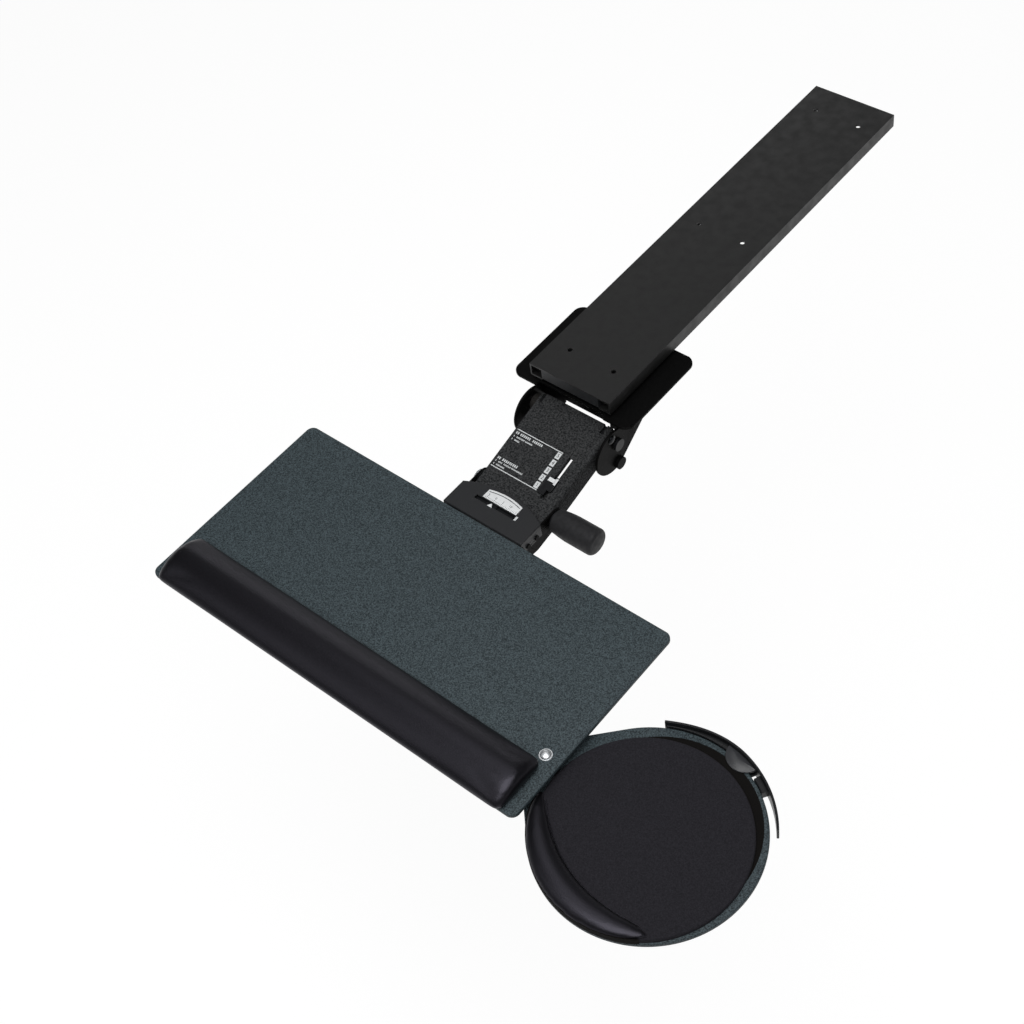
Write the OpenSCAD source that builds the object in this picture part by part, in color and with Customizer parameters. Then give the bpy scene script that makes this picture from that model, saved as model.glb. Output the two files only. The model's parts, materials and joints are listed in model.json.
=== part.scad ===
// Under-desk keyboard tray: a track and carriage, a swivel bracket, a parallel arm,
// a tilting tray with a palm rest, and a round mouse platform that swings out.
// X is the user's right, Y points away from the user, Z is up. The origin is on the
// swivel axis, on the track's top face, with the tray pulled out.

/* [Track] */
// Length of the track
track_len = 560; // [500:5:640]
// Overall width of the track
track_w = 110; // [100:1:130]
// Overall height of the track
track_h = 17; // [15:0.5:22]
// Sheet thickness of the track
track_t = 2; // [1.5:0.1:2.5]
// Width of the lips that carry the carriage
track_lip = 16; // [12:0.5:18]
// How far the track reaches in front of the swivel axis
track_front = 58; // [50:1:70]
// Diameter of the mounting screw holes
screw_hole_d = 5.5; // [4:0.1:7]
// Spacing of the mounting screw holes across the track
screw_pitch_x = 60; // [40:1:70]
// Spacing of the mounting screw holes along the track
screw_pitch_y = 240; // [200:5:245]
// Length of an end stop
stop_len = 8; // [5:0.5:12]

/* [Carriage and swivel] */
// Length of the carriage plate
carriage_len = 96; // [80:1:98]
// Thickness of the carriage plate
carriage_t = 3; // [2:0.1:4]
// Length of a glide
glide_len = 24; // [16:1:30]
// Diameter of the hub and of its washer
hub_d = 66; // [50:1:68]
// How far the hub stands below the track
hub_drop = 3; // [2:0.5:6]
// Thickness of the swivel washer
washer_t = 3; // [2:0.5:5]
// Diameter of the swivel stud
stud_d = 14; // [10:0.5:18]
// Width of the swivel plate
swivel_w = 162; // [140:1:180]
// Length of the swivel plate
swivel_len = 124; // [110:1:140]
// Thickness of the swivel plate
swivel_t = 4; // [3:0.1:6]
// Corner radius of the swivel plate
swivel_r = 12; // [6:0.5:20]

/* [Bracket and arm] */
// Distance from the swivel axis forward to the lift pivot
lift_out = 57; // [50:1:64]
// Depth of the lift pivot below the swivel plate
lift_drop = 35; // [32:0.5:45]
// Distance between the upper and the lower pivots
link_drop = 30; // [27:0.5:36]
// Length of the arm between its pivots
arm_len = 108; // [100:1:140]
// Slope of the arm, down to the tray
arm_pitch = 15; // [5:0.5:20]
// Outer width of the arm channel
arm_w = 98; // [90:1:104]
// Sheet thickness of the arm channel
arm_t = 3; // [2:0.1:4]
// Height of the arm's top face over its pivots
arm_rise = 11; // [10.5:0.1:13]
// Depth of the arm's sides below its pivots
arm_skirt = 17; // [14:0.5:19]
// Gap between the arm's side and a cheek
cheek_gap = 7; // [5:0.5:10]
// Sheet thickness of a cheek
cheek_t = 3; // [2:0.1:5]
// Radius of a cheek's round front
cheek_r = 29; // [26:0.5:30]
// Diameter of the lift and link pins
pin_d = 7; // [5:0.5:7]
// Width of the lower link
link_w = 16; // [12:1:22]
// Distance of the lower link left of the arm's centre line
link_side = 16; // [10:0.5:20]
// Radius of the lower link's eyes
link_eye_r = 8; // [6.5:0.5:9]
// Width of the height pointer's slot
slot_w = 5; // [4:0.5:6]
// Distance of the slot from the arm's centre line
slot_x = 30; // [26:0.5:40]

/* [Head and knob] */
// Diameter of the tilt bolt
bolt_d = 8; // [6:0.5:9]
// Gap between the head block's tube and the arm's top sheet
head_gap = 0.5; // [0.4:0.1:1.2]
// Sheet thickness of the tray bracket
tray_t = 2.5; // [2:0.1:3]
// Height of the board's top over the tilt axis
board_rise = 18; // [16:0.5:24]
// Distance from the tilt axis forward to the board
board_out = 59; // [52:0.5:70]
// Wall of the head cover
cover_t = 2.2; // [1.6:0.1:3]
// Height of the head cover's top over the board's top
cover_rise = 1; // [0:0.5:4]
// Depth of the head cover's sides below its top
cover_skirt = 18; // [12:0.5:24]
// Length of the knob
knob_len = 57; // [50:1:75]
// Diameter of the knob
knob_d = 31.5; // [28:0.5:38]
// Diameter of the knob at its root
knob_root_d = 25; // [22:0.5:27]
// Width of the tilt gauge
gauge_w = 50; // [40:1:56]

/* [Board and palm rest] */
// Width of the board
board_w = 508; // [460:2:640]
// Depth of the board
board_d = 252; // [230:2:280]
// Thickness of the board
board_t = 6; // [5:0.5:9]
// Corner radius of the board
board_r = 9; // [4:0.5:16]
// Length of the palm rest
palm_len = 484; // [400:2:484]
// Width of the palm rest
palm_w = 62; // [50:1:66]
// Height of the palm rest
palm_h = 19; // [14:0.5:24]
// Thickness of the strip under the palm rest
palm_base_t = 2; // [1:0.5:3]

/* [Mouse platform] */
// Distance of the mouse pivot from the board's side
pivot_side = 18; // [14:0.5:24]
// Distance of the mouse pivot from the board's front
pivot_front = 71; // [70:1:90]
// Distance from the mouse pivot to the platform's middle
mouse_reach = 119; // [114:1:130]
// Radius of the mouse platform
mouse_r = 113; // [110:0.5:118]
// Thickness of the mouse platform
mouse_t = 6; // [4:0.5:8]
// Gap between the board and the platform
mouse_gap = 14; // [13.5:0.5:20]
// Radius of the mouse pad
pad_r = 105; // [95:0.5:107]
// Thickness of the mouse pad
pad_t = 5; // [2:0.5:5.5]
// Diameter of the mouse pivot bolt
mouse_bolt_d = 8; // [6:0.5:10]
// Height of the crescent palm rest over the pad
crescent_h = 10; // [6:0.5:14]
// Width of the crescent palm rest at its middle
crescent_w = 30; // [20:1:36]
// Thickness of the mouse guard's wall
guard_t = 2.5; // [1.5:0.1:3.5]
// Height of the mouse guard's wall over the platform
guard_h = 8; // [6:0.5:12]

/* [Hidden] */
$fn = 64;

// Clearances
run_fit = 0.05;
open_fit = 0.3;
slide_gap = 0.4;
side_gap = 0.2;
cut = 1;

// Levels under the desk
plate_top = -(track_h - carriage_t) / 2;
plate_bot = plate_top - carriage_t;
lip_half = track_w / 2 - track_lip;
hub_bot = -track_h - hub_drop;
swivel_top = hub_bot - washer_t;
swivel_bot = swivel_top - swivel_t;
nut_h = 8;
nut_wall = 6;
nut_r = stud_d / 2 + nut_wall;
stop_h = track_h - 2 * track_t;
glide_w = 12;
glide_wall = 6;

// Pivots, as [y, z]
lift = [-lift_out, swivel_bot - lift_drop];
link = lift - [0, link_drop];
arm_run = arm_len * [cos(arm_pitch), sin(arm_pitch)];
tilt = lift - arm_run;
head_link = link - arm_run;

// Widths across the arm, from the middle plane outwards
arm_half = arm_w / 2;
arm_in = arm_half - arm_t;
cheek_in = arm_half + cheek_gap;
cheek_out = cheek_in + cheek_t;
tilt_washer_t = 0.8;
bracket_in = arm_half + side_gap + tilt_washer_t;
bracket_out = bracket_in + tray_t;
cover_in = bracket_out + side_gap;
cover_out = cover_in + cover_t;

link_left = -link_side - link_w / 2;
link_right = -link_side + link_w / 2;
web_t = 8;
head_r = arm_rise - arm_t - head_gap;

// Board
board_top = tilt[1] + board_rise;
board_bot = board_top - board_t;
board_back = tilt[0] - board_out;
board_front = board_back - board_d;
palm_inset = 0.5;
palm_y = board_front + palm_inset + palm_w / 2;
palm_x = -1;

// Arm, in its own level frame with the lift pivot at the origin
arm_back = 10;
arm_nose = 14;
nose_sag = 6;
nose_r = (arm_half * arm_half + nose_sag * nose_sag) / (2 * nose_sag);
pointer_rest = 28;
pointer_y = -arm_len + pointer_rest;
pointer_forward = 15;
pointer_back = 19;
pointer_len = 16;
pointer_w = 11;
pointer_cap_h = 3;
pointer_foot_h = 2;
slot_front = pointer_y - pointer_forward - slot_w / 2 - cut;
slot_spare = 18;
slot_back = pointer_y + pointer_back + slot_spare;
spring_turns = 5;
spring_wire = 2.2;
spring_play = 0.9;
spring_r = pin_d / 2 + spring_wire / 2 + spring_play;
spring_pitch = 2.8;
spring_leg = 22;
spring_side = 4;
spring_x = -arm_in + spring_side;
web_sheet = 3;
spring_edge = spring_x + spring_pitch * spring_turns + spring_side;
notch_in = 10;
notch_y = -2;
notch_w = 3.5;
notch_edge = arm_half - notch_in;
nose_lift = 4;
nose_cut = 12;
link_spacer_wall = 2.5;
link_spacer_r = pin_d / 2 + link_spacer_wall;
// Degrees that the arm swings down from rest, and the relief that clears the link pin there
lift_down = 34;
relief_gap = 1.2;
relief = -link_drop * [sin(arm_pitch + lift_down), cos(arm_pitch + lift_down)];

// Head cover and gauge
cover_top = board_top + cover_rise;
cover_gap = 1;
cover_front = board_back + cover_gap;
apex_out = 11;
cover_apex = tilt[0] - apex_out;
cover_sag = 14;
cover_arc_r = (cover_out * cover_out + cover_sag * cover_sag) / (2 * cover_sag);
gauge_t = 1.2;
gauge_sink = 0.8;
gauge_in = 28;
gauge_front = cover_front + gauge_in;
gauge_d = 11;
gauge_sag = 4;
gauge_arc_r = (gauge_w * gauge_w / 4 + gauge_sag * gauge_sag) / (2 * gauge_sag);
window_d = 5;
window_side = 4;
window_w = gauge_w + 2 * window_side;
window_front = gauge_front - window_d - cover_gap;
tilt_pointer_x = -7;
tilt_pointer_w = 6;
tilt_pointer_t = 1.6;

// Knob
knob_off = 2.6;
knob_x = cover_in + knob_off;
knob_washer_t = 1.6;
disc_wall = 6.5;
washer_wall = 8;
knob_washer_wall = 7;
bolt_head_wall = 5;
insert_len = 24;
insert_wall = 2.5;
knob_round = 4;
knob_flare = 22;
bore_spare = 12;
bolt_short = 2;
knob_bore_end = insert_len + bore_spare;

// Mouse platform
pivot = [board_w / 2 - pivot_side, board_front + pivot_front];
mouse_c = pivot + [mouse_reach, 0];
mouse_top = board_bot - mouse_gap;
mouse_bot = mouse_top - mouse_t;
ear_r = 22;
pad_shift = mouse_r - pad_r;
pad_top = mouse_top + pad_t;
cap_r = 7;
mouse_nut_h = 6;
mouse_nut_wall = 4;
mouse_nut_r = mouse_bolt_d / 2 + mouse_nut_wall;
spacer_gap = 1;
spacer_r = mouse_reach - pad_r - spacer_gap;
crescent_mid = 254.7;
crescent_from = 189;
crescent_to = 307;
crescent_edge = 0.5;
crescent_out = pad_r - crescent_edge;
crescent_arc = 1.36 * pad_r;
crescent_off = crescent_arc - crescent_out + crescent_w;
guard_from = 33;
guard_to = 117;
guard_mid = 76.5;
guard_gap = 1.2;
guard_stand = 4.8;
guard_leave = 42;
guard_tab_r = 19;
guard_tab_t = 3;
guard_feet = [[53, 64.5], [82, 115]];

// Moves children to the arm's own level frame
module on_arm() {
    translate([0, lift[0], lift[1]]) rotate([arm_pitch, 0, 0]) children();
}

// Moves children to an axis along X through a [y, z] point
module on_axis(p) {
    translate([0, p[0], p[1]]) children();
}

// A cylinder along X
module rod_x(r, from, to) {
    translate([from, 0, 0]) rotate([0, 90, 0]) cylinder(r = r, h = to - from);
}

// A ring along X
module ring_x(r, bore, from, to) {
    difference() {
        rod_x(r, from, to);
        rod_x(bore, from - cut, to + cut);
    }
}

// An outline in Y and Z, as thick as t along X
module plate_x(from, t) {
    translate([from, 0, 0]) rotate([90, 0, 90]) linear_extrude(t) children();
}

// A box from one corner to the opposite one
module box(low, high) {
    translate(low) cube(high - low);
}

// A rectangle with round corners
module round_rect(w, d, r) {
    square([w - 2 * r, d], center = true);
    square([w, d - 2 * r], center = true);
    for (x = [-1, 1], y = [-1, 1]) translate([x * (w / 2 - r), y * (d / 2 - r)]) circle(r);
}

// Both sides of the middle plane
module both_sides() {
    children();
    mirror([1, 0, 0]) children();
}

// A closed surface through rings of points, each ring with the same count
module loft(rings) {
    n = len(rings[0]);
    m = len(rings);
    points = [for (ring = rings) each ring];
    sides = [
        for (i = [0 : m - 2], j = [0 : n - 1])
            let (a = i * n + j, b = i * n + (j + 1) % n)
                each [[a, b, b + n], [a, b + n, a + n]]
    ];
    first = [for (j = [1 : n - 2]) [0, j + 1, j]];
    end = (m - 1) * n;
    last = [for (j = [1 : n - 2]) [end, end + j, end + j + 1]];
    polyhedron(points, concat(sides, first, last), convexity = 4);
}

// Section of a cushion: flat below, widest at a third of its height, crowned above
cushion_low = 12;
function cushion_section(w, h, n) =
    let (widest = h / 3)
        [
            for (i = [0 : n - 1])
                let (
                    a = -cushion_low + (180 + 2 * cushion_low) * i / (n - 1),
                    s = sin(a),
                    rise = s < 0 ? widest * (1 + s / sin(cushion_low)) : widest + (h - widest) * s
                )
                    [w / 2 * cos(a), rise]
        ];

// Track
module track_rail() {
    back = track_len - track_front;
    mid_y = (back - track_front) / 2;
    color("#8a8f94") difference() {
        box([-track_w / 2, -track_front, -track_h], [track_w / 2, back, 0]);
        box(
            [-track_w / 2 + track_t, -track_front - cut, -track_h + track_t],
            [track_w / 2 - track_t, back + cut, -track_t]
        );
        box([-lip_half, -track_front - cut, -track_h - cut], [lip_half, back + cut, -track_t]);
        for (x = [-1, 1], y = [-1 : 1])
            translate([x * screw_pitch_x / 2, mid_y + y * screw_pitch_y, -track_t - cut])
                cylinder(d = screw_hole_d, h = track_t + 2 * cut);
    }
}

module end_stop(y) {
    color("#202224")
        box([-lip_half, y, -track_t - stop_h], [lip_half, y + stop_len, -track_t]);
}

module front_stop() {
    end_stop(-track_front);
}

module rear_stop() {
    end_stop(track_len - track_front - stop_len);
}

// Carriage
module carriage_plate() {
    half = track_w / 2 - track_t - glide_wall;
    color("#70757a") difference() {
        box([-half, -carriage_len / 2, plate_bot], [half, carriage_len / 2, plate_top]);
        translate([0, 0, plate_bot - cut]) cylinder(d = stud_d, h = carriage_t + 2 * cut);
    }
}

module carriage_glides() {
    wall = track_w / 2 - track_t - slide_gap;
    inner = track_w / 2 - track_t - glide_w;
    slot = track_w / 2 - track_t - glide_wall;
    color("#e6e3da") both_sides() for (y = [-carriage_len / 2, carriage_len / 2 - glide_len])
        difference() {
            box(
                [inner, y, -track_h + track_t + slide_gap],
                [wall, y + glide_len, -track_t - slide_gap]
            );
            box([inner - cut, y - cut, plate_bot], [slot, y + glide_len + cut, plate_top]);
        }
}

module swivel_stud() {
    color("#9a9fa4") {
        translate([0, 0, swivel_bot - nut_h]) cylinder(d = stud_d, h = plate_top - swivel_bot + nut_h);
        translate([0, 0, hub_bot]) cylinder(d = hub_d, h = plate_bot - hub_bot);
    }
}

module swivel_washer() {
    color("#d9d6cc") translate([0, 0, swivel_top]) difference() {
        cylinder(d = hub_d, h = washer_t);
        translate([0, 0, -cut]) cylinder(d = stud_d, h = washer_t + 2 * cut);
    }
}

module swivel_nut() {
    color("#9a9fa4") translate([0, 0, swivel_bot - nut_h]) difference() {
        cylinder(r = nut_r, h = nut_h - side_gap, $fn = 6);
        translate([0, 0, -cut]) cylinder(d = stud_d, h = nut_h + 2 * cut);
    }
}

// Swivel bracket
module swivel_plate() {
    notch_side = 10;
    notch_w = 2 * (cheek_in - notch_side);
    notch_d = 6;
    color("#1d1f21") translate([0, 0, swivel_bot]) difference() {
        linear_extrude(swivel_t) difference() {
            round_rect(swivel_w, swivel_len, swivel_r);
            translate([-notch_w / 2, -swivel_len / 2 - cut]) square([notch_w, notch_d + cut]);
        }
        translate([0, 0, -cut]) cylinder(r = stud_d / 2 + run_fit, h = swivel_t + 2 * cut);
    }
}

// Side view of a cheek: a round front about the pivots, drawn up to the swivel plate
module cheek_outline() {
    round_shift = [-7, 8];
    low_shift = [11, 2];
    back_in = 22;
    top_in = 5;
    mid = (lift + link) / 2 + round_shift;
    low = [lift[0], link[1]] + low_shift;
    back = [swivel_len / 2 - back_in, swivel_bot];
    slope = (back - low) / norm(back - low);
    reach = 4 * cheek_r;
    intersection() {
        union() {
            translate(mid) circle(cheek_r);
            polygon([[lift[0] + top_in, swivel_bot], [lift[0] + top_in, mid[1]], low, back]);
        }
        polygon([
            low - slope * reach,
            back,
            back + [0, reach],
            [low[0] - reach, back[1] + reach]
        ]);
    }
}

module cheek() {
    color("#17191b") difference() {
        plate_x(cheek_in, cheek_t) cheek_outline();
        for (p = [lift, link]) on_axis(p) rod_x(pin_d / 2, cheek_in - cut, cheek_out + cut);
        for (p = rivet_places()) on_axis(p) rod_x(rivet_r, cheek_in - cut, cheek_out + cut);
    }
}

module left_cheek() {
    mirror([1, 0, 0]) cheek();
}

module right_cheek() {
    cheek();
}

// Rivets that hold a stiffener tab against each cheek
rivet_r = 3;
rivet_front = -8;
rivet_back = 25;
rivet_up = 14;
function rivet_places() = [for (y = [rivet_front, rivet_back]) lift + [y, rivet_up]];

module bracket_rivets() {
    head_h = 2.5;
    head_r = rivet_r + head_h;
    color("#b8bcc0") both_sides() for (p = rivet_places()) on_axis(p) {
        rod_x(rivet_r, cheek_in - head_h, cheek_out);
        rod_x(head_r, cheek_in - head_h, cheek_in);
        translate([cheek_out, 0, 0]) rotate([0, 90, 0]) rotate_extrude() intersection() {
            translate([0, -head_r]) circle(head_r * sqrt(2));
            square([head_r, head_r]);
        }
    }
}

module cheek_pin(p) {
    flange_r = pin_d / 2 + 4;
    flange_h = 4;
    on_axis(p) {
        rod_x(pin_d / 2, -cheek_out, cheek_out);
        both_sides() rod_x(flange_r, cheek_out, cheek_out + flange_h);
    }
}

module lift_pin() {
    color("#6e7276") cheek_pin(lift);
}

module link_pin() {
    color("#2a2c2e") cheek_pin(link);
}

// Upright web between the cheeks, behind the arm's rear edge
module cross_web() {
    slit = 3.5;
    low_up = 8.5;
    deep_up = 2;
    front = lift[0] + arm_back + slit;
    low = lift[1] + low_up;
    deep = lift[1] + deep_up;
    color("#141516") translate([0, front + web_sheet, 0]) rotate([90, 0, 0])
        linear_extrude(web_sheet) polygon([
            [-cheek_in, swivel_bot],
            [-cheek_in, deep],
            [spring_edge, deep],
            [spring_edge, low],
            [notch_edge, low],
            [notch_edge, deep],
            [cheek_in, deep],
            [cheek_in, swivel_bot]
        ]);
}

module link_spacers() {
    color("#c9c6bc") on_axis(link) {
        ring_x(link_spacer_r, pin_d / 2, -cheek_in, link_left - side_gap);
        ring_x(link_spacer_r, pin_d / 2, link_right + side_gap, cheek_in);
    }
}

module friction_discs() {
    color("#4a3b2c") on_axis(lift)
        both_sides() ring_x(pin_d / 2 + disc_wall, pin_d / 2, arm_half + side_gap, cheek_in);
}

// Arm
module arm_channel() {
    front = -arm_len - arm_nose - nose_sag;
    color("#151617") on_arm() difference() {
        box([-arm_half, front, -arm_skirt], [arm_half, arm_back, arm_rise]);
        box([-arm_in, front - cut, -arm_skirt - cut], [arm_in, arm_back + cut, arm_rise - arm_t]);
        translate([0, -arm_len - arm_nose - nose_r, -arm_skirt - cut])
            cylinder(r = nose_r, h = arm_skirt + arm_rise + 2 * cut, $fn = 128);
        box(
            [-arm_half - cut, front - cut, -arm_skirt - cut],
            [arm_half + cut, -arm_len - nose_cut, -nose_lift]
        );
        for (y = [0, -arm_len]) translate([0, y, 0])
            rod_x(y == 0 ? pin_d / 2 + run_fit : bolt_d / 2 + run_fit, -arm_half - cut, arm_half + cut);
        on_axis(relief) rod_x(link_spacer_r + relief_gap, -arm_half - cut, arm_half + cut);
        box([slot_x - slot_w / 2, slot_front, 0], [slot_x + slot_w / 2, slot_back, arm_rise + cut]);
        for (x = [notch_edge, -arm_in])
            box([x, notch_y, arm_rise - arm_t - cut], [x + notch_w, arm_back + cut, arm_rise + cut]);
    }
}

// One unbroken wire: a coil about the lift pin with a straight leg at each end
function spring_path() =
    let (n = 8, last = spring_turns * n)
        concat(
            [[spring_x, -spring_leg, spring_r]],
            [
                for (i = [0 : last])
                    let (a = 360 * i / n)
                        [spring_x + spring_pitch * i / n, spring_r * sin(a), spring_r * cos(a)]
            ],
            [[spring_x + spring_pitch * spring_turns, spring_leg / 3, spring_r]]
        );

function wire_ring(path, i, r, n) =
    let (
        ahead = path[min(i + 1, len(path) - 1)],
        behind = path[max(i - 1, 0)],
        t = (ahead - behind) / norm(ahead - behind),
        u0 = cross(t, [1, 0, 0]),
        u = u0 / norm(u0),
        v = cross(t, u)
    )
        [for (j = [0 : n - 1]) path[i] + r * (cos(360 * j / n) * u + sin(360 * j / n) * v)];

module lift_spring() {
    path = spring_path();
    echo(spring_gap = spring_pitch - spring_wire);
    color("#3a3c3f") on_arm()
        loft([for (i = [0 : len(path) - 1]) wire_ring(path, i, spring_wire / 2, 6)]);
}

module height_pointer() {
    color("#1a1b1c") on_arm() translate([slot_x, pointer_y, 0]) {
        box(
            [-pointer_w / 2, -pointer_len / 2, arm_rise + side_gap],
            [pointer_w / 2, pointer_len / 2, arm_rise + pointer_cap_h]
        );
        stem = slot_w / 2 - side_gap;
        hook = 1.5;
        under = arm_rise - arm_t - side_gap;
        box([-stem, -stem, under - cut], [stem, stem, arm_rise + pointer_cap_h - cut]);
        box(
            [-stem, -pointer_len / 3, under - pointer_foot_h],
            [stem + hook, pointer_len / 3, under]
        );
    }
}

module lower_link() {
    bar_in = 2;
    bar_h = 2 * (link_eye_r - bar_in);
    color("#26282a") on_axis(link) rotate([arm_pitch, 0, 0]) difference() {
        union() {
            for (y = [0, -arm_len]) translate([0, y, 0]) rod_x(link_eye_r, link_left, link_right);
            box([link_left, -arm_len, -bar_h / 2], [link_right, 0, bar_h / 2]);
        }
        rod_x(pin_d / 2 + run_fit, link_left - cut, link_right + cut);
        translate([0, -arm_len, 0]) rod_x(pin_d / 2 + open_fit, link_left - cut, link_right + cut);
    }
}

// Head that the link keeps level
module head_block() {
    web_half = 7;
    color("#3b3e41") difference() {
        union() {
            on_axis(tilt) rod_x(head_r, -arm_in + side_gap, arm_in - side_gap);
            for (x = [link_left - side_gap - web_t, link_right + side_gap]) {
                box(
                    [x, tilt[0] - web_half, head_link[1]],
                    [x + web_t, tilt[0] + web_half, tilt[1]]
                );
                on_axis(head_link) rod_x(web_half, x, x + web_t);
            }
        }
        on_axis(tilt) rod_x(bolt_d / 2, -arm_half, arm_half);
        on_axis(head_link) rod_x(pin_d / 2, -arm_half, arm_half);
    }
}

module head_link_pin() {
    left = link_left - side_gap - web_t;
    right = link_right + side_gap + web_t;
    head_h = 2.5;
    head_wall = 2;
    color("#8d9196") on_axis(head_link) {
        rod_x(pin_d / 2, left, right);
        for (x = [left - head_h, right]) rod_x(pin_d / 2 + head_wall, x, x + head_h);
    }
}

module tilt_bolt() {
    head_h = 4;
    color("#8d9196") on_axis(tilt) {
        rod_x(bolt_d / 2, -bracket_out - side_gap, knob_x + knob_bore_end - bolt_short);
        rod_x(bolt_d / 2 + bolt_head_wall, -bracket_out - side_gap - head_h, -bracket_out - side_gap);
    }
}

module tilt_washers() {
    color("#d8d5ca") on_axis(tilt) {
        both_sides()
            ring_x(bolt_d / 2 + washer_wall, bolt_d / 2 + run_fit, bracket_in - tilt_washer_t, bracket_in);
        ring_x(
            bolt_d / 2 + knob_washer_wall,
            bolt_d / 2 + run_fit,
            bracket_out,
            bracket_out + knob_washer_t
        );
    }
}

// Side of the knob, from its root to its flat end: [distance along the axis, radius]
module knob_outline() {
    root = knob_root_d / 2;
    full = knob_d / 2;
    difference() {
        union() {
            polygon([
                [0, 0],
                [root, 0],
                [full, knob_flare],
                [full, knob_len - knob_round],
                [0, knob_len - knob_round]
            ]);
            square([full - knob_round, knob_len]);
            translate([full - knob_round, knob_len - knob_round]) circle(knob_round);
        }
        translate([-knob_d, 0]) square([knob_d, knob_len]);
    }
}

module tilt_knob() {
    color("#131414") on_axis(tilt) translate([knob_x, 0, 0]) rotate([0, 90, 0]) difference() {
        rotate_extrude() knob_outline();
        translate([0, 0, -cut]) cylinder(r = bolt_d / 2 + insert_wall, h = insert_len + cut);
        translate([0, 0, -cut]) cylinder(r = bolt_d / 2 + run_fit, h = knob_bore_end + cut);
    }
}

module knob_insert() {
    color("#b08d4a") on_axis(tilt) translate([knob_x, 0, 0])
        ring_x(bolt_d / 2 + insert_wall, bolt_d / 2 + run_fit, 0, insert_len);
}

// Tray bracket: a plate under the board with a side that reaches back to the tilt axis
bracket_reach = 150;
bracket_ear_r = 13;
bracket_screw_x = 34;
bracket_screw_y = [30, 82, 135];
function bracket_screw_places() =
    [for (x = [-1, 1], y = bracket_screw_y) [x * bracket_screw_x, board_back - y]];

module tray_bracket() {
    deep = 19;
    shallow = 10;
    knee = 28;
    color("#222426") difference() {
        union() {
            box(
                [-bracket_out, board_back - bracket_reach, board_bot - tray_t],
                [bracket_out, board_back, board_bot]
            );
            both_sides() plate_x(bracket_in, tray_t) {
                translate(tilt) circle(bracket_ear_r);
                polygon([
                    tilt + [0, bracket_ear_r],
                    [board_back, board_bot],
                    [board_back - bracket_reach, board_bot],
                    [board_back - bracket_reach, board_bot - shallow],
                    [board_back + knee, tilt[1] - deep],
                    tilt - [0, bracket_ear_r]
                ]);
            }
        }
        on_axis(tilt) rod_x(bolt_d / 2 + run_fit, -bracket_out - cut, bracket_out + cut);
        for (p = bracket_screw_places())
            translate([p[0], p[1], board_bot - tray_t - cut]) cylinder(d = screw_d, h = tray_t + 2 * cut);
        for (p = cover_screw_places()) on_axis(p)
            rod_x(cover_screw_r, -bracket_out - cut, bracket_out + cut);
    }
}

screw_d = 4;
screw_bite = 4;

module bracket_screws() {
    head_h = 2.4;
    color("#9da1a5") for (p = bracket_screw_places()) translate([p[0], p[1], board_bot - tray_t]) {
        cylinder(d = screw_d, h = tray_t + screw_bite);
        translate([0, 0, -head_h]) cylinder(d = 2 * screw_d, h = head_h);
    }
}

// Head cover: a shell over the front of the arm with an arched rear edge
cover_screw_r = 1.6;
cover_screw_y = [10, 24];
cover_screw_up = 5;
function cover_screw_places() =
    [for (y = cover_screw_y) [cover_front + y, cover_top - cover_skirt + cover_screw_up]];

module cover_plan(half, front) {
    arc_y = cover_apex - cover_arc_r;
    intersection() {
        translate([-half, front]) square([2 * half, cover_apex - front]);
        translate([0, arc_y]) circle(cover_arc_r, $fn = 128);
    }
}

module gauge_plan() {
    back = gauge_front + gauge_d;
    intersection() {
        translate([-gauge_w / 2, gauge_front]) square([gauge_w, gauge_d + gauge_sag]);
        translate([0, back + gauge_sag - gauge_arc_r]) circle(gauge_arc_r, $fn = 128);
    }
}

module head_cover() {
    color("#3a3d40") difference() {
        translate([0, 0, cover_top - cover_skirt]) linear_extrude(cover_skirt)
            cover_plan(cover_out, cover_front);
        box(
            [-cover_in, cover_front + cover_t, cover_top - cover_skirt - cut],
            [cover_in, cover_apex + cut, cover_top - cover_t]
        );
        box(
            [-cover_out - cut, cover_front - cut, cover_top - cover_skirt - cut],
            [cover_out + cut, cover_front + cover_t + cut, board_bot + cut]
        );
        translate([0, 0, cover_top - gauge_sink]) linear_extrude(cover_t) gauge_plan();
        box(
            [-window_w / 2, window_front, cover_top - cover_t - cut],
            [window_w / 2, window_front + window_d, cover_top + cut]
        );
        for (p = cover_screw_places()) on_axis(p)
            rod_x(cover_screw_r, -cover_out - cut, cover_out + cut);
    }
}

module cover_screws() {
    head_h = 1.6;
    head_wall = 1.4;
    color("#2b2d2f") both_sides() for (p = cover_screw_places()) on_axis(p) {
        rod_x(cover_screw_r, bracket_in, cover_out);
        rod_x(cover_screw_r + head_wall, cover_out, cover_out + head_h);
    }
}

module gauge_plate() {
    color("#f0f0ea") translate([0, 0, cover_top - gauge_sink]) linear_extrude(gauge_t) gauge_plan();
}

// Pointer that slides in the window in front of the gauge
module tilt_pointer() {
    mid = window_front + window_d / 2;
    half = window_d / 2 - side_gap;
    under = cover_top - cover_t - side_gap;
    foot = 7;
    lap = 1.5;
    color("#eeeeea") translate([tilt_pointer_x, mid, 0]) {
        translate([0, 0, under - tilt_pointer_t]) linear_extrude(cover_t + side_gap + tilt_pointer_t)
            polygon([[-tilt_pointer_w / 2, -half], [tilt_pointer_w / 2, -half], [0, half]]);
        box([-foot, -half - lap, under - tilt_pointer_t], [foot, half + lap, under]);
    }
}

// Board and palm rest
module board() {
    color("#2c3437") difference() {
        translate([0, board_front + board_d / 2, board_bot]) linear_extrude(board_t)
            round_rect(board_w, board_d, board_r);
        translate([pivot[0], pivot[1], board_bot - cut]) cylinder(d = mouse_bolt_d, h = board_t + 2 * cut);
        for (p = bracket_screw_places())
            translate([p[0], p[1], board_bot - cut]) cylinder(d = screw_d, h = screw_bite + cut);
    }
}

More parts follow.
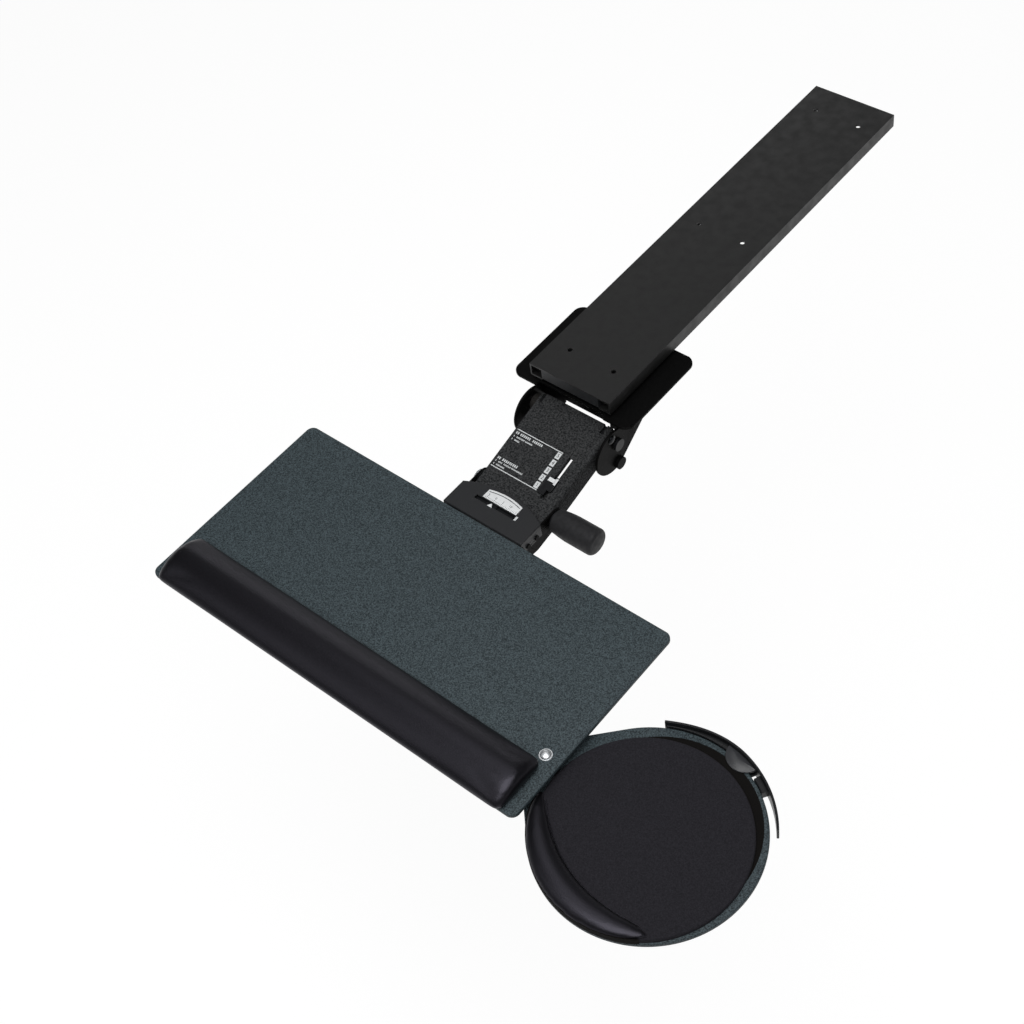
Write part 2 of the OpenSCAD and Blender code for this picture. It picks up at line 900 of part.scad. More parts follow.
module palm_rest_base() {
    inset = 4;
    w = palm_w * cos(cushion_low) - inset;
    color("#1b1c1d") translate([palm_x, palm_y, board_top]) linear_extrude(palm_base_t)
        round_rect(palm_len - w, w, w / 2 - 1);
}

// The pad's ends are rounded in plan and in height
module palm_rest() {
    steps = 40;
    ring = 26;
    power = 9;
    rings = [
        for (i = [0 : steps])
            let (
                a = -86 + 172 * i / steps,
                u = sign(a) * pow(abs(sin(a)), 2 / power),
                s = pow(cos(a), 2 / power)
            )
                [
                    for (q = cushion_section(palm_w, palm_h, ring))
                        [palm_len / 2 * u, q[0] * s, q[1] * (0.35 + 0.65 * s)]
                ]
    ];
    color("#141516") translate([palm_x, palm_y, board_top + palm_base_t]) loft(rings);
}

// Mouse pivot
module mouse_pivot_bolt() {
    low = mouse_bot - side_gap - mouse_nut_h;
    color("#8d9196") translate([pivot[0], pivot[1], low]) cylinder(d = mouse_bolt_d, h = board_top - low);
}

module mouse_pivot_cap() {
    color("#d4d7da") translate([pivot[0], pivot[1], board_top]) rotate_extrude() intersection() {
        translate([0, -cap_r * 0.6]) circle(cap_r * sqrt(1.36));
        square([cap_r, cap_r]);
    }
}

module mouse_spacer() {
    color("#1f2122") translate([pivot[0], pivot[1], mouse_top + side_gap]) difference() {
        cylinder(r = spacer_r, h = mouse_gap - side_gap);
        translate([0, 0, -cut]) cylinder(d = mouse_bolt_d, h = mouse_gap + 2 * cut);
    }
}

module mouse_pivot_nut() {
    color("#9da1a5") translate([pivot[0], pivot[1], mouse_bot - side_gap - mouse_nut_h]) difference() {
        cylinder(r = mouse_nut_r, h = mouse_nut_h, $fn = 6);
        translate([0, 0, -cut]) cylinder(d = mouse_bolt_d, h = mouse_nut_h + 2 * cut);
    }
}

// A disc and a round ear, joined by a neck along their common tangents
module mouse_platform() {
    slope = acos((mouse_r - ear_r) / mouse_reach);
    inside = 0.2;
    rim = [for (s = [1, -1]) mouse_c + (mouse_r - inside) * [-cos(slope), s * sin(slope)]];
    ear = [for (s = [1, -1]) pivot + (ear_r - inside) * [-cos(slope), s * sin(slope)]];
    color("#2c3437") translate([0, 0, mouse_bot]) difference() {
        union() {
            translate(mouse_c) cylinder(r = mouse_r, h = mouse_t, $fn = 128);
            translate(pivot) cylinder(r = ear_r, h = mouse_t);
            linear_extrude(mouse_t) polygon([ear[0], rim[0], rim[1], ear[1]]);
        }
        translate([pivot[0], pivot[1], -cut])
            cylinder(r = mouse_bolt_d / 2 + run_fit, h = mouse_t + 2 * cut);
    }
}

module mouse_pad() {
    color("#101112") translate([mouse_c[0], mouse_c[1] - pad_shift, mouse_top])
        cylinder(r = pad_r, h = pad_t, $fn = 128);
}

// Distance from the pad's middle to the crescent's inner edge, which is an arc about another centre
function crescent_in(a) =
    let (off = a - crescent_mid)
        sqrt(pow(crescent_arc, 2) - pow(crescent_off * sin(off), 2)) - crescent_off * cos(off);

// Crescent between the pad's rim and that arc, with rounded ends
module mouse_palm_rest() {
    steps = 36;
    ring = 24;
    rings = [
        for (i = [0 : steps])
            let (
                u = -0.985 + 1.97 * i / steps,
                a = (crescent_from + crescent_to) / 2 + u * (crescent_to - crescent_from) / 2,
                w = crescent_out - crescent_in(a),
                s = pow(1 - pow(u, 8), 0.5),
                mid = crescent_out - w / 2
            )
                [
                    for (q = cushion_section(w * s, crescent_h * s * pow(w / crescent_w, 0.8), ring))
                        [(mid - q[0]) * cos(a), (mid - q[0]) * sin(a), q[1]]
                ]
    ];
    color("#151617") translate([mouse_c[0], mouse_c[1] - pad_shift, pad_top]) loft(rings);
}

// Inner radius of the guard's wall: it leaves the rim smoothly from its clipped end
function guard_r(a) =
    let (t = min(1, (guard_to - a) / guard_leave))
        mouse_r + guard_gap + guard_stand * t * t * (3 - 2 * t);

// A strip of the wall between two angles, from its inner radius or the rim to a depth in the wall
module guard_strip(from, to, depth, rim) {
    steps = 24;
    turns = [for (i = [0 : steps]) from + (to - from) * i / steps];
    inner = [for (a = turns) (rim ? mouse_r + guard_gap : guard_r(a)) * [cos(a), sin(a)]];
    outer = [for (a = turns) (guard_r(a) + depth) * [cos(a), sin(a)]];
    polygon(concat(inner, [for (i = [steps : -1 : 0]) outer[i]]));
}

// Wall outside the rim, held by a tab that grips the rim from above and below
module mouse_guard() {
    r = guard_r(guard_mid);
    low = mouse_bot - side_gap - guard_tab_t;
    foot_up = 2;
    tab_t = guard_tab_t - 0.5;
    color("#17181a") translate([mouse_c[0], mouse_c[1], 0]) {
        translate([0, 0, low]) linear_extrude(mouse_top + guard_h - low)
            guard_strip(guard_from, guard_to, guard_t, false);
        for (foot = guard_feet) translate([0, 0, low + foot_up]) linear_extrude(mouse_top - low)
            guard_strip(foot[0], foot[1], guard_t / 2, true);
        for (z = [mouse_top + side_gap, low + 0.5]) translate([0, 0, z]) linear_extrude(tab_t)
            intersection() {
                rotate(guard_mid) translate([r + guard_t, 0]) circle(guard_tab_r);
                circle(r + guard_t / 2, $fn = 128);
            }
    }
}

track_rail();
front_stop();
rear_stop();
carriage_plate();
carriage_glides();
swivel_stud();
swivel_washer();
swivel_nut();
swivel_plate();
left_cheek();
right_cheek();
bracket_rivets();
lift_pin();
link_pin();
cross_web();
link_spacers();
friction_discs();
arm_channel();
lift_spring();
height_pointer();
lower_link();
head_block();
tilt_bolt();
head_link_pin();
tilt_knob();
knob_insert();
tray_bracket();
bracket_screws();
tilt_washers();
head_cover();
cover_screws();
gauge_plate();
tilt_pointer();
board();
palm_rest_base();
palm_rest();
mouse_pivot_bolt();
mouse_pivot_cap();
mouse_spacer();
mouse_pivot_nut();
mouse_platform();
mouse_pad();
mouse_palm_rest();
mouse_guard();
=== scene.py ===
"""Looks of an under-desk keyboard tray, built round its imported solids.

Laid out as an add-on and run as a script. Lengths are metres in the part's own frame:
X is the user's right, Y points away from the user, Z is up.
"""

import json
import math

import bmesh
import bpy
import numpy as np
from bpy.props import FloatProperty, FloatVectorProperty, PointerProperty
from mathutils import Matrix, Vector


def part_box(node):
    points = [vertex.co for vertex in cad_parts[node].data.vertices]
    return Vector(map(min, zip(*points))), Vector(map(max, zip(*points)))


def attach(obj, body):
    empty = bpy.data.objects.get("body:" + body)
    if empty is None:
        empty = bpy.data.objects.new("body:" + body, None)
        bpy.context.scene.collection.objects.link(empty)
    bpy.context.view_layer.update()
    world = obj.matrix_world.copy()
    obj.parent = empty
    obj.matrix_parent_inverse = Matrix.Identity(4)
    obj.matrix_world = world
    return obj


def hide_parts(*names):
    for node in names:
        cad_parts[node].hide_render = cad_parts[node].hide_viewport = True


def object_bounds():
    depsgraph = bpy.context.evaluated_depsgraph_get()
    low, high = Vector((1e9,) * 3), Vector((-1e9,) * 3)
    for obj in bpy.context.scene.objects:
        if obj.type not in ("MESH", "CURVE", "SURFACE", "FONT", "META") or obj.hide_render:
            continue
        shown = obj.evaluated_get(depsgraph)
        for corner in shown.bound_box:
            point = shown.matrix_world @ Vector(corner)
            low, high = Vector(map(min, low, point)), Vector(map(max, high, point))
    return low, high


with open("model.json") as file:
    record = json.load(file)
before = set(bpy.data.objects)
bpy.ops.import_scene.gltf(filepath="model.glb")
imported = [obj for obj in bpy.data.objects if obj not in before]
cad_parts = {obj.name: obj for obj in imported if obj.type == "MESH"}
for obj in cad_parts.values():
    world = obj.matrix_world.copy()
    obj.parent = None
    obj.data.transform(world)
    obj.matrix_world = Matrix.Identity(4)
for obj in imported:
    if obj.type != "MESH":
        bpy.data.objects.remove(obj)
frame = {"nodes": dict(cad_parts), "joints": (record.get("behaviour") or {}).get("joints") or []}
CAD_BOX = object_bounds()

bl_info = {
    "name": "Under-desk keyboard tray",
    "version": (1, 0, 0),
    "blender": (4, 5, 0),
    "location": "View3D > Sidebar > Tray",
    "description": "Dresses the solids of a keyboard tray with panels, cushions, prints and finishes",
    "category": "Object",
}

MM = 0.001
RIGHT, AWAY, UP = (1, 0, 0), (0, 1, 0), (0, 0, 1)

# points closer than this are one point, in new skins and in copies of CAD pieces
WELD, CAD_WELD = 0.002 * MM, 0.003 * MM
# edges sharper than these stay hard in the shading, and get a bevel
CREASE, SHARP = math.radians(38), math.radians(40)
CLOTH_FRAMES = 20


# Values that a user would change


def linear(code):
    """Linear RGBA of an sRGB hex code."""
    srgb = np.array([int(code[at : at + 2], 16) for at in (1, 3, 5)]) / 255
    low, high = srgb / 12.92, ((srgb + 0.055) / 1.055) ** 2.4
    return (*np.where(srgb <= 0.04045, low, high).tolist(), 1.0)


def mm(*values):
    """Lengths in millimetres as a tuple of metres."""
    return tuple(value * MM for value in values)


def length(name, description, millimetres):
    """A length property with its default in millimetres."""
    return FloatProperty(name=name, description=description, default=millimetres * MM, unit="LENGTH")


def angle(name, description, degrees):
    """An angle property with its default in degrees."""
    return FloatProperty(
        name=name, description=description, default=math.radians(degrees), subtype="ANGLE"
    )


def colour(name, description, code):
    """A colour property with its default as an sRGB hex code."""
    return FloatVectorProperty(
        name=name, description=description, default=linear(code), size=4, subtype="COLOR", min=0, max=1
    )


class TraySizes(bpy.types.PropertyGroup):
    """Sizes of the pieces that the solids leave plain."""

    board_corner: length("Board corner", "Corner radius of the board in plan", 9)
    board_edge: length("Board edge", "Rounding of the board's edges", 1.6)
    platform_ear: length("Platform ear", "Radius of the ear round the mouse pivot", 27)
    pad_edge: length("Pad edge", "Rounding of the mouse pad's upper edge", 1.8)
    palm_swell: length("Palm rest swell", "Most that the palm rest's cover swells", 0.5)
    crescent_width: length("Crescent width", "Width of the crescent at its middle", 30)
    crescent_arc: length("Crescent arc", "Radius of the crescent's inner edge", 142.8)
    crescent_mid: angle("Crescent middle", "Angle of the crescent's widest place", 254.7)
    crescent_from: angle("Crescent start", "Angle of the crescent's first end", 189)
    crescent_to: angle("Crescent end", "Angle of the crescent's second end", 311)
    crescent_swell: length("Crescent swell", "Most that the crescent's cover swells", 1.2)
    crescent_seam: length("Crescent seam", "Radius of the seam along the crescent's inner edge", 0.7)
    guard_from: angle("Guard start", "Angle of the guard's free end", 34.5)
    guard_to: angle("Guard end", "Angle of the guard's clipped end", 118)
    guard_leave: angle("Guard run-out", "Angle over which the wall leaves the rim", 42)
    guard_tab_at: angle("Guard tab place", "Angle of the guard's thumb tab", 76.5)
    guard_tab: length("Guard tab", "Radius of the guard's thumb tab", 19)
    guard_wall: length("Guard wall", "Thickness of the guard's wall", 2.5)
    guard_stand: length("Guard stand-off", "How far the free part stands off the rim", 4.8)
    arm_slope: angle("Arm slope", "Slope of the arm, down to the tray", 15)
    arm_bend: length("Arm bend", "Bend radius along the arm's upper edges", 4.2)
    knob_flare: length("Knob flare", "Length over which the knob swells from its root", 24)
    knob_root: length("Knob root", "Radius of the knob at its root", 13.6)
    knob_round: length("Knob rounding", "Rounding of the knob's free end", 5)


class TrayColours(bpy.types.PropertyGroup):
    """Colours of the finishes."""

    laminate_dark: colour("Laminate, dark", "Valleys of the pebbled laminate", "#1b2327")
    laminate_light: colour("Laminate, light", "Crowns of the pebbled laminate", "#525f64")
    cover: colour("Palm cover", "Leather-like cover of the palm rests", "#060607")
    cloth: colour("Pad cloth", "Jersey of the mouse pad", "#26252a")
    coat_dark: colour("Textured coat, dark", "Valleys of the arm's powder coat", "#1f2021")
    coat_light: colour("Textured coat, light", "Crowns of the arm's powder coat", "#4a4b4c")
    enamel: colour("Black enamel", "Bracket, cheeks and link", "#101010")
    grey_abs: colour("Grey plastic", "Head cover", "#2b2c2e")
    black_abs: colour("Black plastic", "Mouse guard and pointers", "#1a1b1d")
    thumb_abs: colour("Thumb tab", "Thumb tab of the mouse guard", "#3c3d40")
    # a grey lighter than the guard's black, which paints the thumb tab's reflection
    rubber: colour("Rubber", "Tilt knob", "#2b2b2d")
    white_abs: colour("White plastic", "Gauge and pointers", "#fafcfd")
    ink_white: colour("White ink", "Print on the arm", "#eceff0")
    ink_dark: colour("Dark ink", "Print on the gauge", "#3a3f44")
    floor: colour("Floor", "Studio floor and sweep", "#dcdcdc")


def sizes():
    """The scene's sizes."""
    return bpy.context.scene.tray_sizes


def colours():
    """The scene's colours."""
    return bpy.context.scene.tray_colours


# Places that come from the frame


def joint_place(name):
    """Where a hinge's axis lies at rest."""
    return Vector(next(joint["pos_m"] for joint in frame["joints"] if joint["name"] == name))


def arm_matrix():
    """The arm's own frame: the lift pivot is its origin, -Y runs down the arm, Z leaves its top face."""
    return Matrix.Translation(joint_place("lift")) @ Matrix.Rotation(sizes().arm_slope, 4, "X")


def arm_top():
    """Height of the arm's top face over its pivots, from the arm's points in its own frame."""
    points = points_of(frame["nodes"]["arm_channel"].data)
    return float(moved(points, arm_matrix().inverted())[:, 2].max())


def platform_circle():
    """Middle of the mouse platform's disc in plan, and its radius."""
    low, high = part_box("mouse_platform")
    radius = (high.y - low.y) / 2
    return Vector((high.x - radius, (low.y + high.y) / 2)), radius


# Surfaces


def points_of(mesh):
    """A mesh's points as an array."""
    flat = np.zeros(len(mesh.vertices) * 3, np.float32)
    mesh.vertices.foreach_get("co", flat)
    return flat.reshape(-1, 3).astype(float)


def moved(points, place):
    """Points of any array shape, carried by a matrix."""
    matrix = np.array(place)
    return points @ matrix[:3, :3].T + matrix[:3, 3]


def link(name, mesh):
    """A new object at the origin that shows a mesh."""
    made = bpy.data.objects.new(name, mesh)
    bpy.context.scene.collection.objects.link(made)
    return made


def join(name, parts):
    """One object with the meshes of several, which go away."""
    form = bmesh.new()
    for part in parts:
        form.from_mesh(part.data)
    mesh = bpy.data.meshes.new(name)
    form.to_mesh(mesh)
    form.free()
    for part in parts:
        bpy.data.objects.remove(part)
    return link(name, mesh)


def arc(centre, radius, start, end, count):
    """Points on a circle from one angle to another, in plan."""
    turn = np.linspace(start, end, count)
    return np.array(centre)[:2] + radius * np.stack([np.cos(turn), np.sin(turn)], axis=-1)


def bow(half, rise):
    """Radius and half angle of the arc that rises by rise over a chord of twice half."""
    radius = (half**2 + rise**2) / (2 * rise)
    return radius, math.asin(half / radius)


def outward(outline):
    """Unit normals of a closed outline that runs anticlockwise: the tangent turned clockwise."""
    tangent = np.roll(outline, -1, axis=0) - np.roll(outline, 1, axis=0)
    normal = np.stack([tangent[:, 1], -tangent[:, 0]], axis=-1)
    return normal / np.linalg.norm(normal, axis=1, keepdims=True)


def skin(name, rings, capped=True):
    """Mesh through a grid of points of shape (rows, columns, 3): columns close on themselves, and the
    first and last rows get flat caps. With capped off, a row that shrinks to a point becomes a pole."""
    rings = np.asarray(rings, float)
    rows, columns = rings.shape[:2]
    index = np.arange(rows * columns).reshape(rows, columns)
    beside = np.roll(index, -1, axis=1)
    quads = np.stack([index[:-1], beside[:-1], beside[1:], index[1:]], axis=-1).reshape(-1, 4)
    caps = [index[0, ::-1].tolist(), index[-1].tolist()] if capped else []
    mesh = bpy.data.meshes.new(name)
    mesh.from_pydata(rings.reshape(-1, 3).tolist(), [], quads.tolist() + caps)
    form = bmesh.new()
    form.from_mesh(mesh)
    bmesh.ops.remove_doubles(form, verts=form.verts, dist=WELD)
    bmesh.ops.dissolve_degenerate(form, edges=form.edges, dist=WELD)
    if capped:
        bmesh.ops.recalc_face_normals(form, faces=form.faces)
    form.to_mesh(mesh)
    form.free()
    corners = np.zeros(len(mesh.polygons), np.int32)
    mesh.polygons.foreach_get("loop_total", corners)
    mesh.polygons.foreach_set("use_smooth", corners <= 4)
    mesh.set_sharp_from_angle(angle=CREASE)
    return link(name, mesh)


def panel_rings(outline, low, high, edge, steps=6):
    """A flat panel's rings: the outline moved in by edge (1 - cos a) at height edge (1 + sin a)
    over the lower face, for a from -90 to 0 degrees, and mirrored at the upper face."""
    turn = np.linspace(-math.pi / 2, 0, steps)
    inset = edge * (1 - np.cos(turn))
    height = edge * (1 + np.sin(turn))
    inset = np.concatenate([inset, inset[::-1]])
    height = np.concatenate([low + height, high - height[::-1]])
    plan = outline[None] - inset[:, None, None] * outward(outline)[None]
    level = np.broadcast_to(height[:, None, None], (*plan.shape[:2], 1))
    return np.concatenate([plan, level], axis=-1)


def lathe_rings(profile, origin, along, across, count=96):
    """A turned form's rings: profile rows are (distance along the axis, radius), and each ring is
    origin + distance * along + radius (cos a * across + sin a * (along x across))."""
    along, across = Vector(along), Vector(across)
    turn = np.linspace(0, 2 * math.pi, count, endpoint=False)
    spoke = np.outer(np.cos(turn), across) + np.outer(np.sin(turn), along.cross(across))
    profile = np.asarray(profile, float)
    return (
        np.array(origin)[None, None]
        + profile[:, 0, None, None] * np.array(along)[None, None]
        + profile[:, 1, None, None] * spoke[None]
    )


def polar_rings(centre, radius, turn, level):
    """Rings round an upright axis: x and y are the centre's plus radius times the cosine and the sine
    of turn, and z is level."""
    x, y = centre.x + radius * np.cos(turn), centre.y + radius * np.sin(turn)
    return np.stack([x, y, np.broadcast_to(level, x.shape)], axis=-1)


def cushion_section(width, height, count, power, shoulder=0.36):
    """A cushion's section: upright sides to the shoulder's share of the height, and over them a crown
    up = side + (height - side) (1 - |place| ** power), across = width / 2 place, for place = cos a
    from 1 to -1."""
    side = shoulder * height
    place = np.cos(np.linspace(0, math.pi, count - 6))
    crown = side + (height - side) * (1 - np.abs(place) ** power)
    rise = np.linspace(0, side, 4)[:-1]
    across = np.concatenate([np.ones(3), place, -np.ones(3)])
    return width / 2 * across, np.concatenate([rise, crown, rise[::-1]])


def slabs(name, rectangles, place, low, high):
    """Thin closed blocks over rectangles (x0, y0, x1, y1), carried by a matrix."""
    sheet = np.array(rectangles)
    plan = np.stack([sheet[:, [0, 1]], sheet[:, [2, 1]], sheet[:, [2, 3]], sheet[:, [0, 3]]], axis=1)
    levels = [np.insert(plan, 2, z, axis=2) for z in (low, high)]
    points = np.concatenate(levels, axis=1)
    sides = np.array([(0, 3, 2, 1), (4, 5, 6, 7), (0, 1, 5, 4), (1, 2, 6, 5), (2, 3, 7, 6), (3, 0, 4, 7)])
    faces = (sides[None] + 8 * np.arange(len(sheet))[:, None, None]).reshape(-1, 4)
    mesh = bpy.data.meshes.new(name)
    mesh.from_pydata(moved(points, place).reshape(-1, 3).tolist(), [], faces.tolist())
    return link(name, mesh)


def digits(name, marks, height, place):
    """Plain numbers (text, x, y), centred on their places and carried by a matrix, as one thin mesh."""
    parts = []
    for text, x, y in marks:
        curve = bpy.data.curves.new(text, "FONT")
        curve.body = text
        curve.size = height
        curve.align_x, curve.align_y = "CENTER", "CENTER"
        curve.extrude = 0.04 * MM
        curve.resolution_u = 3
        shown = link(text, curve)
        graph = bpy.context.evaluated_depsgraph_get()
        mesh = bpy.data.meshes.new_from_object(shown.evaluated_get(graph))
        bpy.data.objects.remove(shown)
        mesh.transform(place @ Matrix.Translation((x, y, 0)))
        parts.append(link(text, mesh))
    return join(name, parts)


def eased(node, name, width, least=1.0, weight=None):
    """Copy of a CAD piece with its convex sharp edges rounded by a bevel. least is an edge's share of
    the width, unless weight gives another from the edge's middle and its direction."""
    form = bmesh.new()
    form.from_mesh(frame["nodes"][node].data)
    bmesh.ops.remove_doubles(form, verts=form.verts, dist=CAD_WELD)
    share = form.edges.layers.float.new("bevel_weight_edge")
    for edge in form.edges:
        if len(edge.link_faces) == 2 and edge.is_convex and edge.calc_face_angle(0) > SHARP:
            first, second = (vertex.co for vertex in edge.verts)
            strong = weight and weight((first + second) / 2, (second - first).normalized())
            edge[share] = strong or least
    mesh = bpy.data.meshes.new(name)
    form.to_mesh(mesh)
    form.free()
    mesh.polygons.foreach_set("use_smooth", np.ones(len(mesh.polygons), bool))
    mesh.set_sharp_from_angle(angle=CREASE)
    piece = link(name, mesh)
    bevel = piece.modifiers.new("rounded_edges", "BEVEL")
    bevel.limit_method = "WEIGHT"
    bevel.width = width
    bevel.segments = 3
    bevel.use_clamp_overlap = False
    piece.modifiers.new("flat_faces", "WEIGHTED_NORMAL").keep_sharp = True
    return piece


# Soft covers


def swell(piece, step, pressure, most, seat):
    """Makes a closed skin a cloth cover over foam: it is remeshed to even steps, blown up, smoothed
    and subdivided. The result is the piece's own mesh."""
    remesh = piece.modifiers.new("even_cloth", "REMESH")
    remesh.mode = "VOXEL"
    remesh.voxel_size = step
    relax(piece, 1)
    settle(piece)
    blow(piece, pressure, most, seat)
    relax(piece, 5)
    settle(piece)
    piece.data.polygons.foreach_set("use_smooth", np.ones(len(piece.data.polygons), bool))
    smooth = piece.modifiers.new("smooth_cover", "SUBSURF")
    smooth.levels = smooth.render_levels = 1


def blow(piece, pressure, most, seat):
    """Runs a cloth with pressure inside: points below the seat's height stay put, and each other point
    keeps its way from the start, cut short at most."""
    scene = bpy.context.scene
    start = points_of(piece.data)
    held = piece.vertex_groups.new(name="seat")
    held.add(np.flatnonzero(start[:, 2] < seat).tolist(), 1.0, "REPLACE")
    cloth = piece.modifiers.new("cover", "CLOTH")
    cloth.settings.use_pressure = True
    cloth.settings.uniform_pressure_force = pressure
    cloth.settings.vertex_group_mass = "seat"
    cloth.settings.effector_weights.gravity = 0
    cloth.point_cache.frame_start, cloth.point_cache.frame_end = 1, CLOTH_FRAMES
    for step in range(1, CLOTH_FRAMES + 1):
        scene.frame_set(step)
    settle(piece)
    way = points_of(piece.data) - start
    far = np.linalg.norm(way, axis=1, keepdims=True)
    kept = start + way * np.minimum(1, most / np.maximum(far, 1e-9))
    piece.data.vertices.foreach_set("co", kept.astype(np.float32).ravel())
    scene.frame_set(1)
    piece.vertex_groups.clear()


def relax(piece, rounds):
    """Evens out the steps of a remeshed skin."""
    even = piece.modifiers.new("even_steps", "SMOOTH")
    even.factor, even.iterations = 0.5, rounds


def settle(piece):
    """Applies a piece's modifiers to its mesh."""
    graph = bpy.context.evaluated_depsgraph_get()
    mesh = bpy.data.meshes.new_from_object(piece.evaluated_get(graph))
    piece.modifiers.clear()
    piece.data = mesh


# Finishes


def put(piece, body, slot, material, *nodes):
    """Gives a piece its material and body, and hides the CAD nodes that it stands for; slot is not used."""
    piece.data.materials.clear()
    piece.data.materials.append(material)
    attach(piece, body)
    if nodes:
        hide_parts(*nodes)
    return piece


def dress(material, *nodes):
    """Gives CAD nodes a material."""
    for node in nodes:
        mesh = frame["nodes"][node].data
        mesh.materials.clear()
        mesh.materials.append(material)


def add(tree, kind, settings=None, values=None, links=None):
    """Adds a node: settings are its own, values its sockets' constants, links what feeds them."""
    made = tree.nodes.new(kind)
    for name, value in (settings or {}).items():
        setattr(made, name, value)
    for name, value in (values or {}).items():
        made.inputs[name].default_value = value
    for name, source in (links or {}).items():
        tree.links.new(source, made.inputs[name])
    return made


def shader_of(name, **sockets):
    """A new material with one Principled shader, whose constant sockets are given."""
    material = bpy.data.materials.new(name)
    material.use_nodes = True
    tree = material.node_tree
    tree.nodes.clear()
    values = {socket.replace("_", " "): value for socket, value in sockets.items()}
    shader = add(tree, "ShaderNodeBsdfPrincipled", values=values)
    add(tree, "ShaderNodeOutputMaterial", links={"Surface": shader.outputs[0]})
    return material, tree, shader


def shade(rgba, factor):
    """A colour made darker or lighter by a factor."""
    return (*[min(1.0, part * factor) for part in rgba[:3]], 1.0)


def grained(name, dark, light, grain, relief, gloss, contrast=(0.3, 0.7), **sockets):
    """A finish whose colour, gloss and relief follow one noise. grain is the noise's size and relief
    its height, in millimetres; gloss is the roughness in its valleys and on its crowns; contrast is
    the span of the noise that runs from valley to crown."""
    material, tree, shader = shader_of(name, **sockets)
    place = add(tree, "ShaderNodeTexCoord").outputs["Object"]
    noise = add(
        tree,
        "ShaderNodeTexNoise",
        values={"Scale": 1 / (grain * MM), "Detail": 2.5},
        links={"Vector": place},
    )
    height = add(
        tree,
        "ShaderNodeMapRange",
        values={"From Min": contrast[0], "From Max": contrast[1]},
        links={"Value": noise.outputs["Fac"]},
    ).outputs[0]
    tint = add(
        tree, "ShaderNodeMix", settings={"data_type": "RGBA"}, values={6: dark, 7: light}, links={0: height}
    )
    rough = add(
        tree,
        "ShaderNodeMapRange",
        values={"To Min": gloss[0], "To Max": gloss[1]},
        links={"Value": height},
    )
    bump = add(
        tree, "ShaderNodeBump", values={"Strength": 1.0, "Distance": relief * MM}, links={"Height": height}
    )
    tree.links.new(tint.outputs[2], shader.inputs["Base Color"])
    tree.links.new(rough.outputs[0], shader.inputs["Roughness"])
    tree.links.new(bump.outputs[0], shader.inputs["Normal"])
    return material


def finish_of(name):
    """A finish that an earlier piece already has."""
    return bpy.data.materials[name]


# Materials


def pebbled_laminate():
    """Pressed laminate on board: a dull blue-grey with fine pebbles, whose crowns catch the light.
    The pebbles are about 0.8 mm on the real sheet and are drawn at 1.25 mm so that they show."""
    tones = colours()
    return grained(
        "pebbled_laminate",
        tones.laminate_dark,
        tones.laminate_light,
        1.25,
        0.14,
        (0.62, 0.5),
        contrast=(0.32, 0.68),
        Specular_IOR_Level=0.3,
    )


def stretch_leatherette():
    """Leather-like polyurethane cover, calendered: soft black with a faint grain and a broad dull shine.
    The grain is about 0.5 mm and is drawn at 1.3 mm so that it shows."""
    tone = colours().cover
    return grained(
        "stretch_leatherette",
        shade(tone, 0.8),
        shade(tone, 1.25),
        1.3,
        0.05,
        (0.4, 0.36),
        Specular_IOR_Level=0.5,
        Specular_Tint=linear("#eeeaff"),
    )


def knitted_jersey():
    """Fine knitted polyester on foam: an even soft black, matt, with a faint stitch.
    The stitch is about 0.4 mm and is drawn at 1.2 mm so that it shows."""
    tone = colours().cloth
    return grained(
        "knitted_jersey",
        shade(tone, 0.75),
        shade(tone, 1.3),
        1.2,
        0.08,
        (0.95, 0.85),
        Specular_IOR_Level=0.2,
        Sheen_Weight=0.1,
        Sheen_Roughness=0.5,
        Sheen_Tint=linear("#7a7a84"),
    )


def textured_powder_coat():
    """Textured powder coat on steel sheet: black with hard round pebbles that sparkle softly.
    The pebbles are about 0.9 mm and are drawn at 1.8 mm so that they show."""
    tones = colours()
    return grained(
        "textured_powder_coat",
        tones.coat_dark,
        tones.coat_light,
        1.8,
        0.2,
        (0.65, 0.5),
        contrast=(0.33, 0.67),
        Specular_IOR_Level=0.03,
    )


def satin_enamel():
    """Stoved black enamel on steel: smooth, with a low even shine and faint orange peel of about 3 mm."""
    tone = colours().enamel
    return grained(
        "satin_enamel", shade(tone, 0.85), shade(tone, 1.15), 3.0, 0.03, (0.42, 0.34), Specular_IOR_Level=0.03
    )


def electrocoat():
    """Black electro-coat on rolled steel: thin and dull, and a little cloudy over about 14 mm."""
    tone = colours().enamel
    return grained("electrocoat_steel", shade(tone, 1.1), shade(tone, 1.7), 14.0, 0.02, (0.55, 0.4))


def grey_abs():
    """Spark-eroded ABS moulding: smooth dark grey with a very fine matt grain.
    The grain is about 0.6 mm and is drawn at 0.9 mm so that it shows."""
    tone = colours().grey_abs
    return grained(
        "moulded_abs_grey",
        shade(tone, 0.92),
        shade(tone, 1.1),
        0.9,
        0.03,
        (0.46, 0.38),
        Specular_IOR_Level=0.3,
    )


def black_abs():
    """Polished ABS moulding: near black with a clear soft reflection and slight flow marks of 9 mm."""
    tone = colours().black_abs
    return grained(
        "polished_abs_black",
        shade(tone, 0.9),
        shade(tone, 1.15),
        9.0,
        0.01,
        (0.4, 0.32),
        Specular_IOR_Level=0.22,
    )


def worn_abs():
    """Grey ABS of the thumb tab, lighter than the guard's black as a painted reflection: a broad soft shine,
    faint marks of 6 mm.
    """
    tone = colours().thumb_abs
    return grained("abs_grey_painted_sheen", shade(tone, 0.92), shade(tone, 1.08), 6.0, 0.01, (0.4, 0.34))


